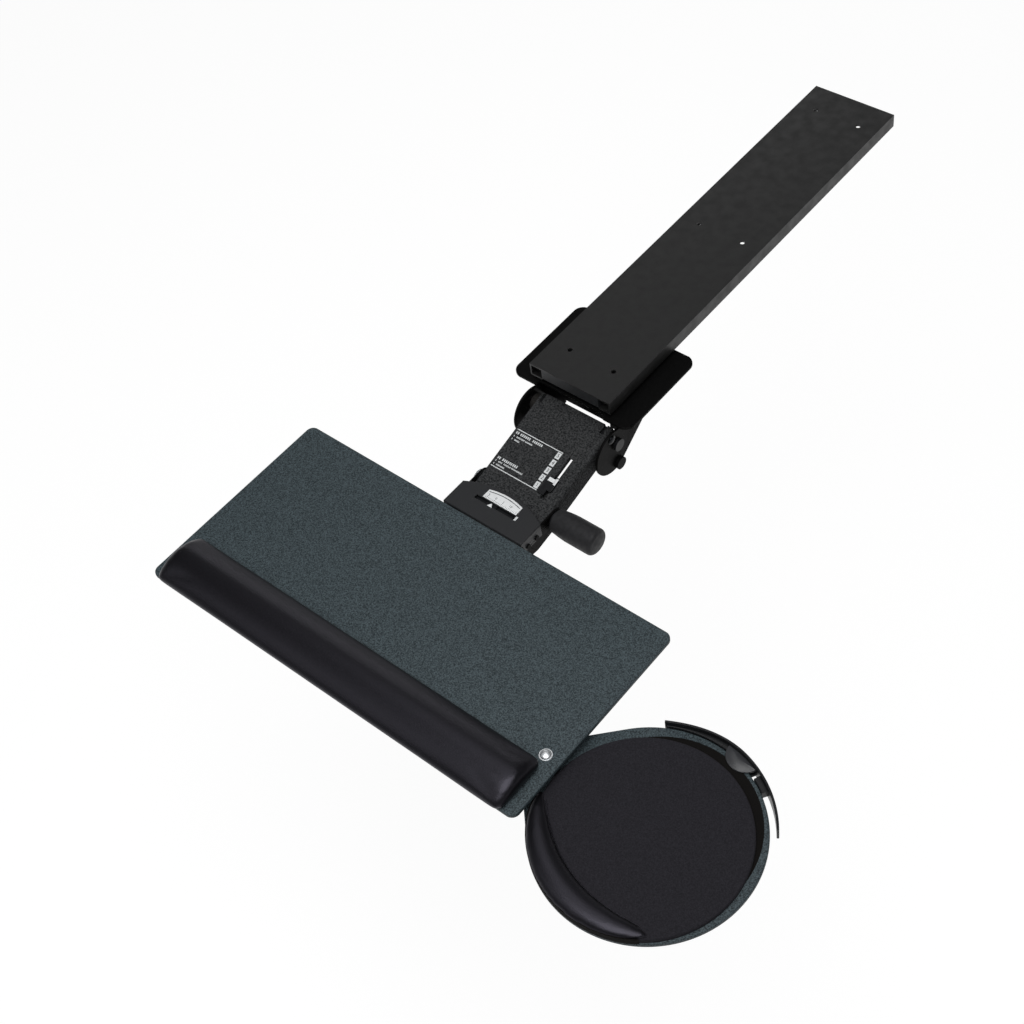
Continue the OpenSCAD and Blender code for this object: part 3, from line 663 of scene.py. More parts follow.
def soft_rubber():
    """Moulded thermoplastic rubber: black and matt, with a bloom that lightens it in patches of 5 mm."""
    tone = colours().rubber
    return grained(
        "soft_rubber",
        shade(tone, 0.85),
        shade(tone, 1.2),
        5.0,
        0.03,
        (0.62, 0.5),
        Specular_IOR_Level=0.2,
        Sheen_Weight=0.05,
        Sheen_Roughness=0.5,
    )


def foam_rubber():
    """Sponge rubber sheet: dull black with fine open cells of about 0.7 mm; under the pad it paints its
    shadow.
    """
    return grained(
        "foam_rubber", linear("#0e0d0c"), linear("#181615"), 0.7, 0.04, (0.9, 0.8), Specular_IOR_Level=0.1
    )


def white_abs():
    """White ABS moulding: clean, with a light satin surface and a trace of grey in it."""
    tone = colours().white_abs
    return grained("moulded_abs_white", shade(tone, 0.95), tone, 4.0, 0.01, (0.42, 0.34))


def screen_ink(name, rgba):
    """Screen-printed ink: dense and matt, thinner where the mesh of 0.6 mm left less of it."""
    return grained(name, shade(rgba, 0.9), rgba, 0.6, 0.01, (0.6, 0.5))


def bright_chrome():
    """Chrome plate on steel, a little rubbed: pale and cool, with a broad highlight and 2 mm wear."""
    return grained(
        "bright_chrome", linear("#d9dcdf"), linear("#f4f6f7"), 2.0, 0.006, (0.45, 0.38), Metallic=1.0
    )


def zinc_plate():
    """Zinc plate on turned steel: pale bluish grey with a cloudy satin shine over about 4 mm."""
    return grained("zinc_plate", linear("#a9adb0"), linear("#c9cdd0"), 4.0, 0.01, (0.42, 0.3), Metallic=1.0)


def black_zinc():
    """Black-passivated zinc on rivet steel: dark with a clear metallic glint and clouds of about 3 mm."""
    return grained("black_zinc", linear("#17181a"), linear("#26282a"), 3.0, 0.01, (0.3, 0.2), Metallic=1.0)


def oiled_spring_steel():
    """Oil-hardened spring wire: dark blue-black steel with a smooth drawn shine."""
    return grained(
        "oiled_spring_steel", linear("#3a3c40"), linear("#55585d"), 3.0, 0.01, (0.4, 0.28), Metallic=1.0
    )


def turned_brass():
    """Turned brass: warm yellow with a fine satin cut."""
    return grained("turned_brass", linear("#a8873f"), linear("#c9a85c"), 1.5, 0.01, (0.4, 0.28), Metallic=1.0)


def natural_nylon():
    """Natural nylon moulding: milky and slightly waxy."""
    return grained("natural_nylon", linear("#cfcbbd"), linear("#e2dfd3"), 5.0, 0.01, (0.48, 0.38))


def brake_lining():
    """Pressed friction lining: dull brown-black with lighter fibres of about 1.5 mm."""
    return grained("brake_lining", linear("#141312"), linear("#23201d"), 1.5, 0.05, (0.95, 0.85))


# Pieces


class TRAY_OT_stage(bpy.types.Operator):
    """Camera at the photograph's view, pale sweep, soft lamps and plain colour handling"""

    bl_idname = "tray.stage"
    bl_label = "Stage"

    eye = Vector((0.8807, -0.9616, 1.3266))
    right = Vector((0.7638, 0.6339, -0.1212))
    up = Vector((-0.4368, 0.6460, 0.6260))
    # lens and sensor in millimetres, sight in metres
    lens = 59.77
    sensor = 36
    sight = 50
    floor_drop = 0.62
    sweep_radius = 6.0
    sweep_bend = 1.6
    sweep_height = 4.2
    # where the paper's lift starts and stops fading, and its strength there
    far_fade = (2.6, 6.0, 0.8, 0.35)
    tall_fade = (0.8, 2.4, 1.0, 0.2)
    paper_white = 1.16
    air_light = 0.045
    aim = Vector((0.1, -0.25, -0.08))
    # name, place, width and depth, watts
    lamps = (
        ("key_softbox", (-0.95, -1.75, 1.65), (1.5, 0.9), 4.0),
        ("overhead_fill", (0.7, -0.85, 2.5), (2.2, 2.2), 56.0),
        ("top_softbox", (-0.62, 0.32, 2.15), (0.8, 0.8), 3.6),
        ("rear_strip", (-1.3, 1.5, 1.05), (1.6, 0.4), 4.0),
    )

    def execute(self, context):
        scene = bpy.context.scene
        scene.view_settings.view_transform = "Standard"
        self.camera(scene)
        self.sweep()
        for name, place, size, power in self.lamps:
            self.lamp(name, Vector(place), size, power)
        world = bpy.data.worlds.new("studio_air")
        world.use_nodes = True
        sky = world.node_tree.nodes["Background"]
        sky.inputs["Color"].default_value = linear("#f4f6f8")
        sky.inputs["Strength"].default_value = self.air_light
        scene.world = world
        return {"FINISHED"}

    def camera(self, scene):
        """The camera that takes the photograph's view."""
        data = bpy.data.cameras.new("view")
        data.sensor_width = self.sensor
        data.lens = self.lens
        data.clip_end = self.sight
        camera = bpy.data.objects.new("view", data)
        axes = (self.right, self.up, self.right.cross(self.up))
        camera.matrix_world = Matrix.Translation(self.eye) @ Matrix(axes).transposed().to_4x4()
        scene.collection.objects.link(camera)
        scene.camera = camera

    def sweep(self):
        """A round floor that bends up into a wall: a turned profile, seen from inside."""
        low = CAD_BOX[0].z - self.floor_drop
        bend = np.linspace(0, math.pi / 2, 16)
        rise = self.sweep_bend * (1 - np.cos(bend))
        reach = self.sweep_radius + self.sweep_bend * np.sin(bend)
        top = [self.sweep_height, self.sweep_radius + self.sweep_bend]
        profile = np.vstack([[0, 0], np.stack([rise, reach], axis=-1), top])
        floor = skin("studio_sweep", lathe_rings(profile, (0, 0, low), UP, RIGHT), capped=False)
        floor.data.materials.append(self.paper())

    def paper(self):
        """Matt white paper: it keeps the object's shadow, and it is lifted towards white where the camera,
        a reflection or a clear piece sees it. The lift fades far out and high up."""
        material, tree, shader = shader_of(
            "matt_paper", Base_Color=colours().floor, Roughness=0.95, Specular_IOR_Level=0.1
        )
        rays = add(tree, "ShaderNodeLightPath").outputs
        seen = add(tree, "ShaderNodeMath", links={0: rays["Is Camera Ray"], 1: rays["Is Glossy Ray"]})
        share = add(
            tree,
            "ShaderNodeMath",
            settings={"use_clamp": True},
            links={0: seen.outputs[0], 1: rays["Is Transmission Ray"]},
        ).outputs[0]
        place = add(tree, "ShaderNodeTexCoord").outputs["Object"]
        far = add(tree, "ShaderNodeVectorMath", settings={"operation": "LENGTH"}, links={0: place})
        tall = add(tree, "ShaderNodeSeparateXYZ", links={0: place})
        ends = ("From Min", "From Max", "To Min", "To Max")
        for value, span in ((far.outputs["Value"], self.far_fade), (tall.outputs["Z"], self.tall_fade)):
            fade = add(tree, "ShaderNodeMapRange", values=dict(zip(ends, span)), links={"Value": value})
            share = add(
                tree,
                "ShaderNodeMath",
                settings={"operation": "MULTIPLY"},
                links={0: share, 1: fade.outputs[0]},
            ).outputs[0]
        white = add(tree, "ShaderNodeEmission", values={"Strength": self.paper_white})
        blend = add(
            tree, "ShaderNodeMixShader", links={0: share, 1: shader.outputs[0], 2: white.outputs[0]}
        )
        tree.links.new(blend.outputs[0], tree.nodes["Material Output"].inputs["Surface"])
        return material

    def lamp(self, name, place, size, power):
        """A softbox at a place, turned to the tray."""
        data = bpy.data.lights.new(name, "AREA")
        data.shape = "RECTANGLE"
        data.size, data.size_y = size
        data.energy = power
        lamp = bpy.data.objects.new(name, data)
        turn = (self.aim - place).to_track_quat("-Z", "Y").to_matrix().to_4x4()
        lamp.matrix_world = Matrix.Translation(place) @ turn
        bpy.context.scene.collection.objects.link(lamp)


class TRAY_OT_board(bpy.types.Operator):
    """Board of the tray: a thin laminated panel with round corners and softened edges"""

    bl_idname = "tray.board"
    bl_label = "Board"

    def execute(self, context):
        low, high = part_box("board")
        radius = sizes().board_corner
        quarter = math.pi / 2
        # the sides that meet at each corner, and the quarter turn at which its arc starts
        corners = ((1, 1, 0), (-1, 1, 1), (-1, -1, 2), (1, -1, 3))
        middle, half = (low + high) / 2, (high - low) / 2
        outline = np.concatenate(
            [
                arc(
                    (middle.x + side * (half.x - radius), middle.y + end * (half.y - radius)),
                    radius,
                    turn * quarter,
                    (turn + 1) * quarter,
                    13,
                )
                for side, end, turn in corners
            ]
        )
        panel = skin("board_panel", panel_rings(outline, low.z, high.z, sizes().board_edge))
        put(panel, "tray", "board_laminate", pebbled_laminate(), "board")
        return {"FINISHED"}


class TRAY_OT_platform(bpy.types.Operator):
    """Mouse platform: a disc with a round ear under the board, in the board's laminate"""

    bl_idname = "tray.platform"
    bl_label = "Mouse platform"

    def execute(self, context):
        low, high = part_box("mouse_platform")
        centre, radius = platform_circle()
        ear = sizes().platform_ear
        pivot = joint_place("mouse_swing")
        # both arcs end where their common tangents touch, at this angle from the line of centres
        slope = math.acos((radius - ear) / (centre.x - pivot.x))
        outline = np.concatenate(
            [
                arc(centre, radius, slope - math.pi, math.pi - slope, 180),
                arc(pivot, ear, math.pi - slope, math.pi + slope, 40),
            ]
        )
        panel = skin("mouse_platform_panel", panel_rings(outline, low.z, high.z, sizes().board_edge))
        put(panel, "mouse", "board_laminate", finish_of("pebbled_laminate"), "mouse_platform")
        return {"FINISHED"}


class TRAY_OT_palm_rest(bpy.types.Operator):
    """Palm rest: a long foam cushion in a stretched leather-like cover"""

    bl_idname = "tray.palm_rest"
    bl_label = "Palm rest"

    corner = 9.5 * MM
    spare = 0.9 * MM
    fuller = 2.3 * MM
    skirt = 1.7 * MM
    left_in = 2.2 * MM
    forward = 3.2 * MM
    swell_room = 0.4
    cloth_step = 4 * MM
    pressure = 4.0
    seat = 1.2 * MM

    def execute(self, context):
        low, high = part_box("palm_rest")
        low += Vector((self.left_in, 0, -self.skirt))
        cushion = skin("palm_rest_cushion", self.rings(low, high))
        swell(cushion, self.cloth_step, self.pressure, sizes().palm_swell, low.z + self.seat)
        put(cushion, "tray", "palm_cover", stretch_leatherette(), "palm_rest")
        return {"FINISHED"}

    def rings(self, low, high):
        """The cushion's section carried along X, to half the length times sin a for a from -90 to 90
        degrees. Within the corner's radius of an end, dip grows from 0 to 1, and the quarter circle
        bend = sqrt(1 - dip ** 2) narrows the section in plan and takes it down to half its height."""
        middle = (low + high) / 2 - Vector((0, self.forward, 0))
        half = (high.x - low.x) / 2 + self.spare
        width = high.y - low.y + 2 * (self.spare + self.fuller)
        height = high.z - low.z - self.swell_room * sizes().palm_swell
        along = np.sin(np.linspace(-math.pi / 2, math.pi / 2, 160))
        dip = np.clip(1 - half * (1 - np.abs(along)) / self.corner, 0, 1)
        bend = np.sqrt(1 - dip**2)
        narrow = 1 - self.corner / (width / 2) * (1 - bend)
        across, up = cushion_section(width, height, 48, 2.0)
        rings = np.empty((len(along), len(across), 3))
        rings[..., 0] = middle.x + (half * along)[:, None]
        rings[..., 1] = middle.y + narrow[:, None] * across
        rings[..., 2] = low.z + (0.5 + 0.5 * bend)[:, None] * up
        return rings


class TRAY_OT_mouse_pad(bpy.types.Operator):
    """Mouse pad: a flat foam disc with a jersey face that rolls over its rim"""

    bl_idname = "tray.mouse_pad"
    bl_label = "Mouse pad"

    # size, thickness and offset of the dark sheet that paints the pad's cast shadow on the platform
    backing_in = 16 * MM
    backing_thick = 0.25 * MM
    backing_right, backing_away = mm(6.2, 10.2)

    def execute(self, context):
        low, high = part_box("mouse_pad")
        middle = (low + high) / 2
        radius, tall = (high.x - low.x) / 2, high.z - low.z
        edge = sizes().pad_edge
        bend = np.linspace(0, math.pi / 2, 8)
        rim = np.stack([tall - edge + edge * np.sin(bend), radius - edge + edge * np.cos(bend)], axis=-1)
        face = np.linspace(radius - edge, 0, 12)[1:]
        crown = np.stack([np.full_like(face, tall), face], axis=-1)
        profile = np.vstack([[0, 0], [0, radius], rim, crown])
        disc = lathe_rings(profile, (middle.x, middle.y, low.z), UP, RIGHT, 160)
        pad = skin("mouse_pad_disc", disc, capped=False)
        put(pad, "mouse", "pad_cloth", knitted_jersey(), "mouse_pad")
        # a dark sheet under the pad paints the pad's cast shadow on the platform
        self.backing(low.z)
        return {"FINISHED"}

    def backing(self, level):
        """A thin dark sheet between pad and platform, which the pad leaves bare at its far side: a painted
        shadow of the pad, made as a disc about the pad's size that is set off towards the far side.
        """
        centre, radius = platform_circle()
        reach, thick = radius - self.backing_in, self.backing_thick
        profile = [[0, 0], [0, reach], [thick, reach], [thick, 0]]
        middle = (centre.x + self.backing_right, centre.y + self.backing_away, level)
        sheet = lathe_rings(profile, middle, UP, RIGHT, 160)
        put(skin("pad_painted_shadow", sheet, capped=False), "mouse", "rubber", foam_rubber())


class TRAY_OT_crescent(bpy.types.Operator):
    """Crescent palm rest on the mouse pad: a soft roll that thins to its two tips"""

    bl_idname = "tray.crescent"
    bl_label = "Crescent palm rest"

    tip = 0.985
    overhang = 0.8 * MM
    fullness = 0.93
    cloth_step = 2.2 * MM
    pressure = 4.0
    seat = 1 * MM
    trim_end = 0.93
    hem_end, hem_taper = 0.95, 0.2
    hem_in, hem_out, hem_low, hem_high = mm(0.05, 0.5, 0.1, 3)
    seam_in, seam_up = mm(0.6, 0.4)

    def execute(self, context):
        low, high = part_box("mouse_palm_rest")
        pad_low, pad_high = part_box("mouse_pad")
        centre, pad_radius = (pad_low + pad_high) / 2, (pad_high.x - pad_low.x) / 2
        size = sizes()
        along = np.linspace(-self.tip, self.tip, 110)
        span = size.crescent_to - size.crescent_from
        turn = (size.crescent_from + size.crescent_to) / 2 + along * span / 2
        edge = self.edge_radius(turn, centre)
        outer = edge + self.overhang
        width = outer - self.inner_radius(turn, pad_radius)
        # close to 1 over most of the way, and about a third at the tips
        end = np.sqrt(1 - along**8)
        self.roll(centre, turn, outer, width, end, low.z, high.z)
        shown = np.abs(along) < self.trim_end
        way = turn[shown, None]
        inside = pad_radius + self.hem_in
        taper = np.sqrt(np.clip((self.hem_end - np.abs(along)) / self.hem_taper, 0, 1))
        outside = inside + (edge + self.hem_out - inside) * taper
        hem = np.stack([np.full_like(turn, inside), outside, outside, np.full_like(turn, inside)], axis=-1)
        level = np.array([pad_low.z + self.hem_low] * 2 + [low.z + self.hem_high] * 2)
        strip = skin("crescent_hem", polar_rings(centre, hem[shown], way, level))
        put(strip, "mouse", "rubber", finish_of("foam_rubber"))
        round_way = np.linspace(0, 2 * math.pi, 10, endpoint=False)[None]
        foot = outer - width / 2 - width * end / 2 - self.seam_in
        cord = foot[shown, None] + size.crescent_seam * np.cos(round_way)
        level = low.z + self.seam_up + size.crescent_seam * np.sin(round_way)
        seam = skin("crescent_seam", polar_rings(centre, cord, way, level))
        put(seam, "mouse", "palm_cover", finish_of("stretch_leatherette"))
        return {"FINISHED"}

    def inner_radius(self, turn, pad_radius):
        """How far the inner edge lies from the pad's middle: the edge is an arc whose centre stands off
        by off, so the radius is sqrt(arc ** 2 - (off sin a) ** 2) - off cos a, a counted from the
        crescent's middle."""
        size = sizes()
        off = size.crescent_arc - pad_radius + size.crescent_width
        lean = turn - size.crescent_mid
        return np.sqrt(size.crescent_arc**2 - (off * np.sin(lean)) ** 2) - off * np.cos(lean)

    def edge_radius(self, turn, centre):
        """How far the platform's edge lies from the pad's middle, which stands off the platform's own
        middle by shift: sqrt(reach ** 2 - shift ** 2 + along ** 2) - along, where along is the part of
        shift in the direction of turn."""
        disc, reach = platform_circle()
        shift = centre.xy - disc
        along = shift.x * np.cos(turn) + shift.y * np.sin(turn)
        return np.sqrt(reach**2 - shift.length_squared + along**2) - along

    def roll(self, centre, turn, outer, width, end, low, high):
        """The cushion's section carried round the pad's middle: end takes its width and height to the
        tips, and its height follows the width to the power 0.8."""
        across, up = cushion_section(1.0, 1.0, 40, 3.0)
        place = (outer - width / 2)[:, None] - (width * end)[:, None] * across
        tall = (high - low) * self.fullness * end * (width / sizes().crescent_width) ** 0.8
        rings = polar_rings(centre, place, turn[:, None], low + tall[:, None] * up)
        roll = skin("crescent_cushion", rings)
        swell(roll, self.cloth_step, self.pressure, sizes().crescent_swell, low + self.seat)
        put(roll, "mouse", "palm_cover", finish_of("stretch_leatherette"), "mouse_palm_rest")


class TRAY_OT_guard(bpy.types.Operator):
    """Mouse guard: a curved wall outside the platform's rim, clipped on by a round thumb tab"""

    bl_idname = "tray.guard"
    bl_label = "Mouse guard"

    gap = 1.2 * MM
    edge = 0.9 * MM
    slip = 0.15 * MM
    # first and last angle of each clip foot, in degrees
    feet = ((55.5, 64.2), (80, 117))
    foot_up = 2 * MM
    grip_up, grip_gap, grip_hollow = mm(0.5, 0.3, -0.2)
    thumb_gap, thumb_top, thumb_crown = mm(0.3, 2.4, 2.2)

    def execute(self, context):
        low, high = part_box("mouse_guard")
        rim_low, rim_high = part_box("mouse_platform")
        size = sizes()
        clip = platform_circle()[1] + self.slip
        way = np.linspace(size.guard_from, size.guard_to, 72)[:, None]
        inner = self.inner_radius(way)
        parts = [
            self.wall("shield", way, inner, inner + size.guard_wall, low.z, high.z),
            self.tab("grip", low.z + self.grip_up, rim_low.z - self.grip_gap, self.grip_hollow),
        ]
        for ends in self.feet:
            way = np.linspace(*np.radians(ends), 72)[:, None]
            outer = self.inner_radius(way) + size.guard_wall / 2
            foot = self.wall("foot", way, clip, outer, low.z + self.foot_up, rim_high.z + self.foot_up)
            parts.append(foot)
        put(join("mouse_guard_clip", parts), "guard", "black_plastic", black_abs(), "mouse_guard")
        # the thumb tab gets a grey lighter than the guard's black, which paints the tab's reflection
        tab_low, tab_high = rim_high.z + self.thumb_gap, rim_high.z + self.thumb_top
        thumb = self.tab("guard_thumb_tab", tab_low, tab_high, self.thumb_crown)
        put(thumb, "guard", "black_plastic", worn_abs())
        return {"FINISHED"}

    def inner_radius(self, way):
        """Inner radius of the wall: run * run (3 - 2 run) of the stand-off, run going from 0 at the clipped
        end to 1 after the run-out angle."""
        size = sizes()
        run = np.clip((size.guard_to - way) / size.guard_leave, 0, 1)
        return platform_circle()[1] + self.gap + size.guard_stand * run * run * (3 - 2 * run)

    def wall(self, name, way, inner, outer, low, high):
        """A rounded upright strip carried round the rim through the angles in way: its section is a box
        with round corners between the radii inner and outer."""
        turn = np.linspace(0, 2 * math.pi, 24, endpoint=False)[None]
        thick = outer - inner
        bend = np.minimum(self.edge, thick / 2)
        side, top = np.sign(np.cos(turn)), np.sign(np.sin(turn))
        across = (inner + outer) / 2 + side * (thick / 2 - bend) + bend * np.cos(turn)
        up = (low + high) / 2 + top * ((high - low) / 2 - bend) + bend * np.sin(turn)
        return skin(name, polar_rings(platform_circle()[0], across, way, up))

    def tab(self, name, low, high, crown):
        """A half-round tab with a domed face: its outline shrinks to its middle by a share that runs from
        1 to 0, while it rises by crown (1 - share ** 2)."""
        size = sizes()
        centre, _ = platform_circle()
        out = float(self.inner_radius(size.guard_tab_at)) + size.guard_wall
        hub = arc(centre, out, size.guard_tab_at, size.guard_tab_at, 1)[0]
        reach = out - size.guard_wall / 2
        swing = math.acos((reach**2 + out**2 - size.guard_tab**2) / (2 * reach * out))
        rim = arc(centre, reach, size.guard_tab_at - swing, size.guard_tab_at + swing, 24)
        first, last = (math.atan2(*(end - hub)[::-1]) for end in (rim[-1], rim[0]))
        rounded = arc(hub, size.guard_tab, first, last + (2 * math.pi if last < first else 0), 48)
        rings = panel_rings(np.concatenate([rim, rounded[1:-1]]), low, high, self.edge)
        middle = rings[-1].mean(axis=0)
        share = np.linspace(1, 0, 10)[1:, None, None]
        dome = middle + (rings[-1][None] - middle) * share
        dome[..., 2] = high + crown * (1 - share[..., 0] ** 2)
        floor = np.broadcast_to(rings[0].mean(axis=0), rings[:1].shape)
        return skin(name, np.concatenate([floor, rings, dome]), capped=False)


class TRAY_OT_arm(bpy.types.Operator):
    """Arm channel and swivel bracket: pressed steel with bent and softened edges"""

    bl_idname = "tray.arm"
    bl_label = "Arm and bracket"

    near = 0.2 * MM
    least_edge = 0.15
    lengthwise = 0.1
    plate_edge = 0.8 * MM
    plates = (
        ("left_cheek", "swivel"),
        ("right_cheek", "swivel"),
        ("swivel_plate", "swivel"),
        ("cross_web", "swivel"),
        ("tray_bracket", "tray"),
    )

    def execute(self, context):
        frame_back = arm_matrix().inverted()
        top = arm_top()
        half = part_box("arm_channel")[1].x

        def bent(middle, way):
            """The full bend along the two upper edges."""
            place = frame_back @ middle
            outer = half - abs(place.x) < self.near and top - place.z < self.near
            return 1.0 if outer and abs(way.x) < self.lengthwise else None

        arm = eased("arm_channel", "arm_shell", sizes().arm_bend, self.least_edge, bent)
        put(arm, "arm", "textured_black", textured_powder_coat(), "arm_channel")
        enamel = satin_enamel()
        for node, body in self.plates:
            put(eased(node, node + "_plate", self.plate_edge), body, "black_steel", enamel, node)
        return {"FINISHED"}


class TRAY_OT_arm_print(bpy.types.Operator):
    """Print on the arm: two rules, a column of numbered boxes and rows of plain dashes"""

    bl_idname = "tray.arm_print"
    bl_label = "Arm print"

    left, right = mm(-46.0, 18.3)
    back, front = mm(-42.0, -92.5)
    rule = 1.0 * MM
    box_x, box_w, box_h = mm(15.3, 5.6, 8.0)
    first_box, box_step = mm(-47.2, 10.0)
    number = 6.4 * MM
    low, high = mm(-0.05, 0.1)
    # place along the arm, height and spans across the arm, in millimetres
    rows = (
        (-46.0, 3.0, ((-45, -40.5), (-38.5, -23.5), (-21.5, -8))),
        (-50.8, 1.8, ((-45, -43), (-41, -30), (-28.5, -19))),
        (-54.8, 1.8, ((-45, -43), (-41, -34))),
        (-81.0, 3.0, ((-45, -40), (-38, -16))),
        (-85.2, 1.8, ((-45, -43), (-41, -35), (-33.5, -24), (-22.5, -7))),
        (-89.2, 1.8, ((-45, -43), (-41, -29))),
    )
    dash_step, dash_fill = 0.8, 0.62

    def dashes(self):
        """Rows of plain upright dashes, as rectangles: each span is filled at an even step, which is a
        share of the row's height."""
        marks = []
        for y, tall, spans in self.rows:
            step = self.dash_step * tall
            starts = np.concatenate([np.arange(start, end - step / 2, step) for start, end in spans])
            marks += [(x, y - tall / 2, x + self.dash_fill * step, y + tall / 2) for x in starts]
        return (np.array(marks) * MM).tolist()

    def execute(self, context):
        place = arm_matrix() @ Matrix.Translation((0, 0, arm_top()))
        boxes = self.first_box - self.box_step * np.arange(5)
        half_w, half_h, half = self.box_w / 2, self.box_h / 2, self.rule / 2
        rules = [(self.left, y - half, self.right, y + half) for y in (self.back, self.front)]
        blocks = [(self.box_x - half_w, y - half_h, self.box_x + half_w, y + half_h) for y in boxes]
        white = screen_ink("screen_ink_white", colours().ink_white)
        sheet = slabs("arm_print_white", rules + blocks + self.dashes(), place, self.low, self.high)
        put(sheet, "arm", "white_plastic", white)
        marks = [(str(5 - step), self.box_x, y) for step, y in enumerate(boxes)]
        over = place @ Matrix.Translation((0, 0, self.high))
        numbers = digits("arm_print_numbers", marks, self.number, over)
        put(numbers, "arm", "black_plastic", screen_ink("screen_ink_dark", colours().ink_dark))
        return {"FINISHED"}


class TRAY_OT_pointer(bpy.types.Operator):
    """Height pointer in the arm's slot: a black slider with a white T on its rear end"""

    bl_idname = "tray.pointer"
    bl_label = "Height pointer"

    edge = 0.7 * MM
    # rectangles on the arm's top face
    bar = mm(24, -77.6, 33, -73)
    stem = mm(32.4, -79.4, 35.2, -71.4)
    block = mm(21.5, -94.5, 30.2, -78.2)
    # under the slot, a sheet in the coat's colour paints the shade inside the arm
    slot = (mm(20, -99.5, 26.6, -38), mm(26.6, -99.5, 36, -67.5))
    # under the notches, black sheets paint the shade inside the arm
    notches = (mm(38, -3, 44, 9.5), mm(-46, -3, -41, 9.5))
    mark_deep, mark_proud, block_sunk = mm(2.4, 0.2, 0.2)
    slot_low, slot_high = mm(2.2, 0.6)
    notch_deep, notch_thick = mm(3.6, 0.6)

    def execute(self, context):
        black = finish_of("polished_abs_black")
        place = arm_matrix()
        slider = eased("height_pointer", "height_slider", self.edge)
        put(slider, "height_marker", "black_plastic", black, "height_pointer")
        heights = moved(points_of(frame["nodes"]["height_pointer"].data), place.inverted())[:, 2]
        under, tip = heights.min(), heights.max()
        foot = tip - self.mark_deep
        mark = slabs("height_mark", [self.bar, self.stem], place, foot, tip + self.mark_proud)
        put(mark, "height_marker", "white_plastic", white_abs())
        block = slabs("height_block", [self.block], place, foot, tip - self.block_sunk)
        put(block, "height_marker", "black_plastic", black)
        # a sheet in the coat's colour under the slot paints the shade inside the arm seen through it
        shade_sheet = slabs("slot_shade_sheet", self.slot, place, under - self.slot_low, under - self.slot_high)
        put(shade_sheet, "arm", "black_plastic", finish_of("textured_powder_coat"))
        # black sheets under the rear notches paint the shade inside the arm seen through them
        deep = arm_top() - self.notch_deep
        shade_sheet = slabs("notch_shade_sheet", self.notches, place, deep - self.notch_thick, deep)
        put(shade_sheet, "arm", "black_plastic", black)
        return {"FINISHED"}


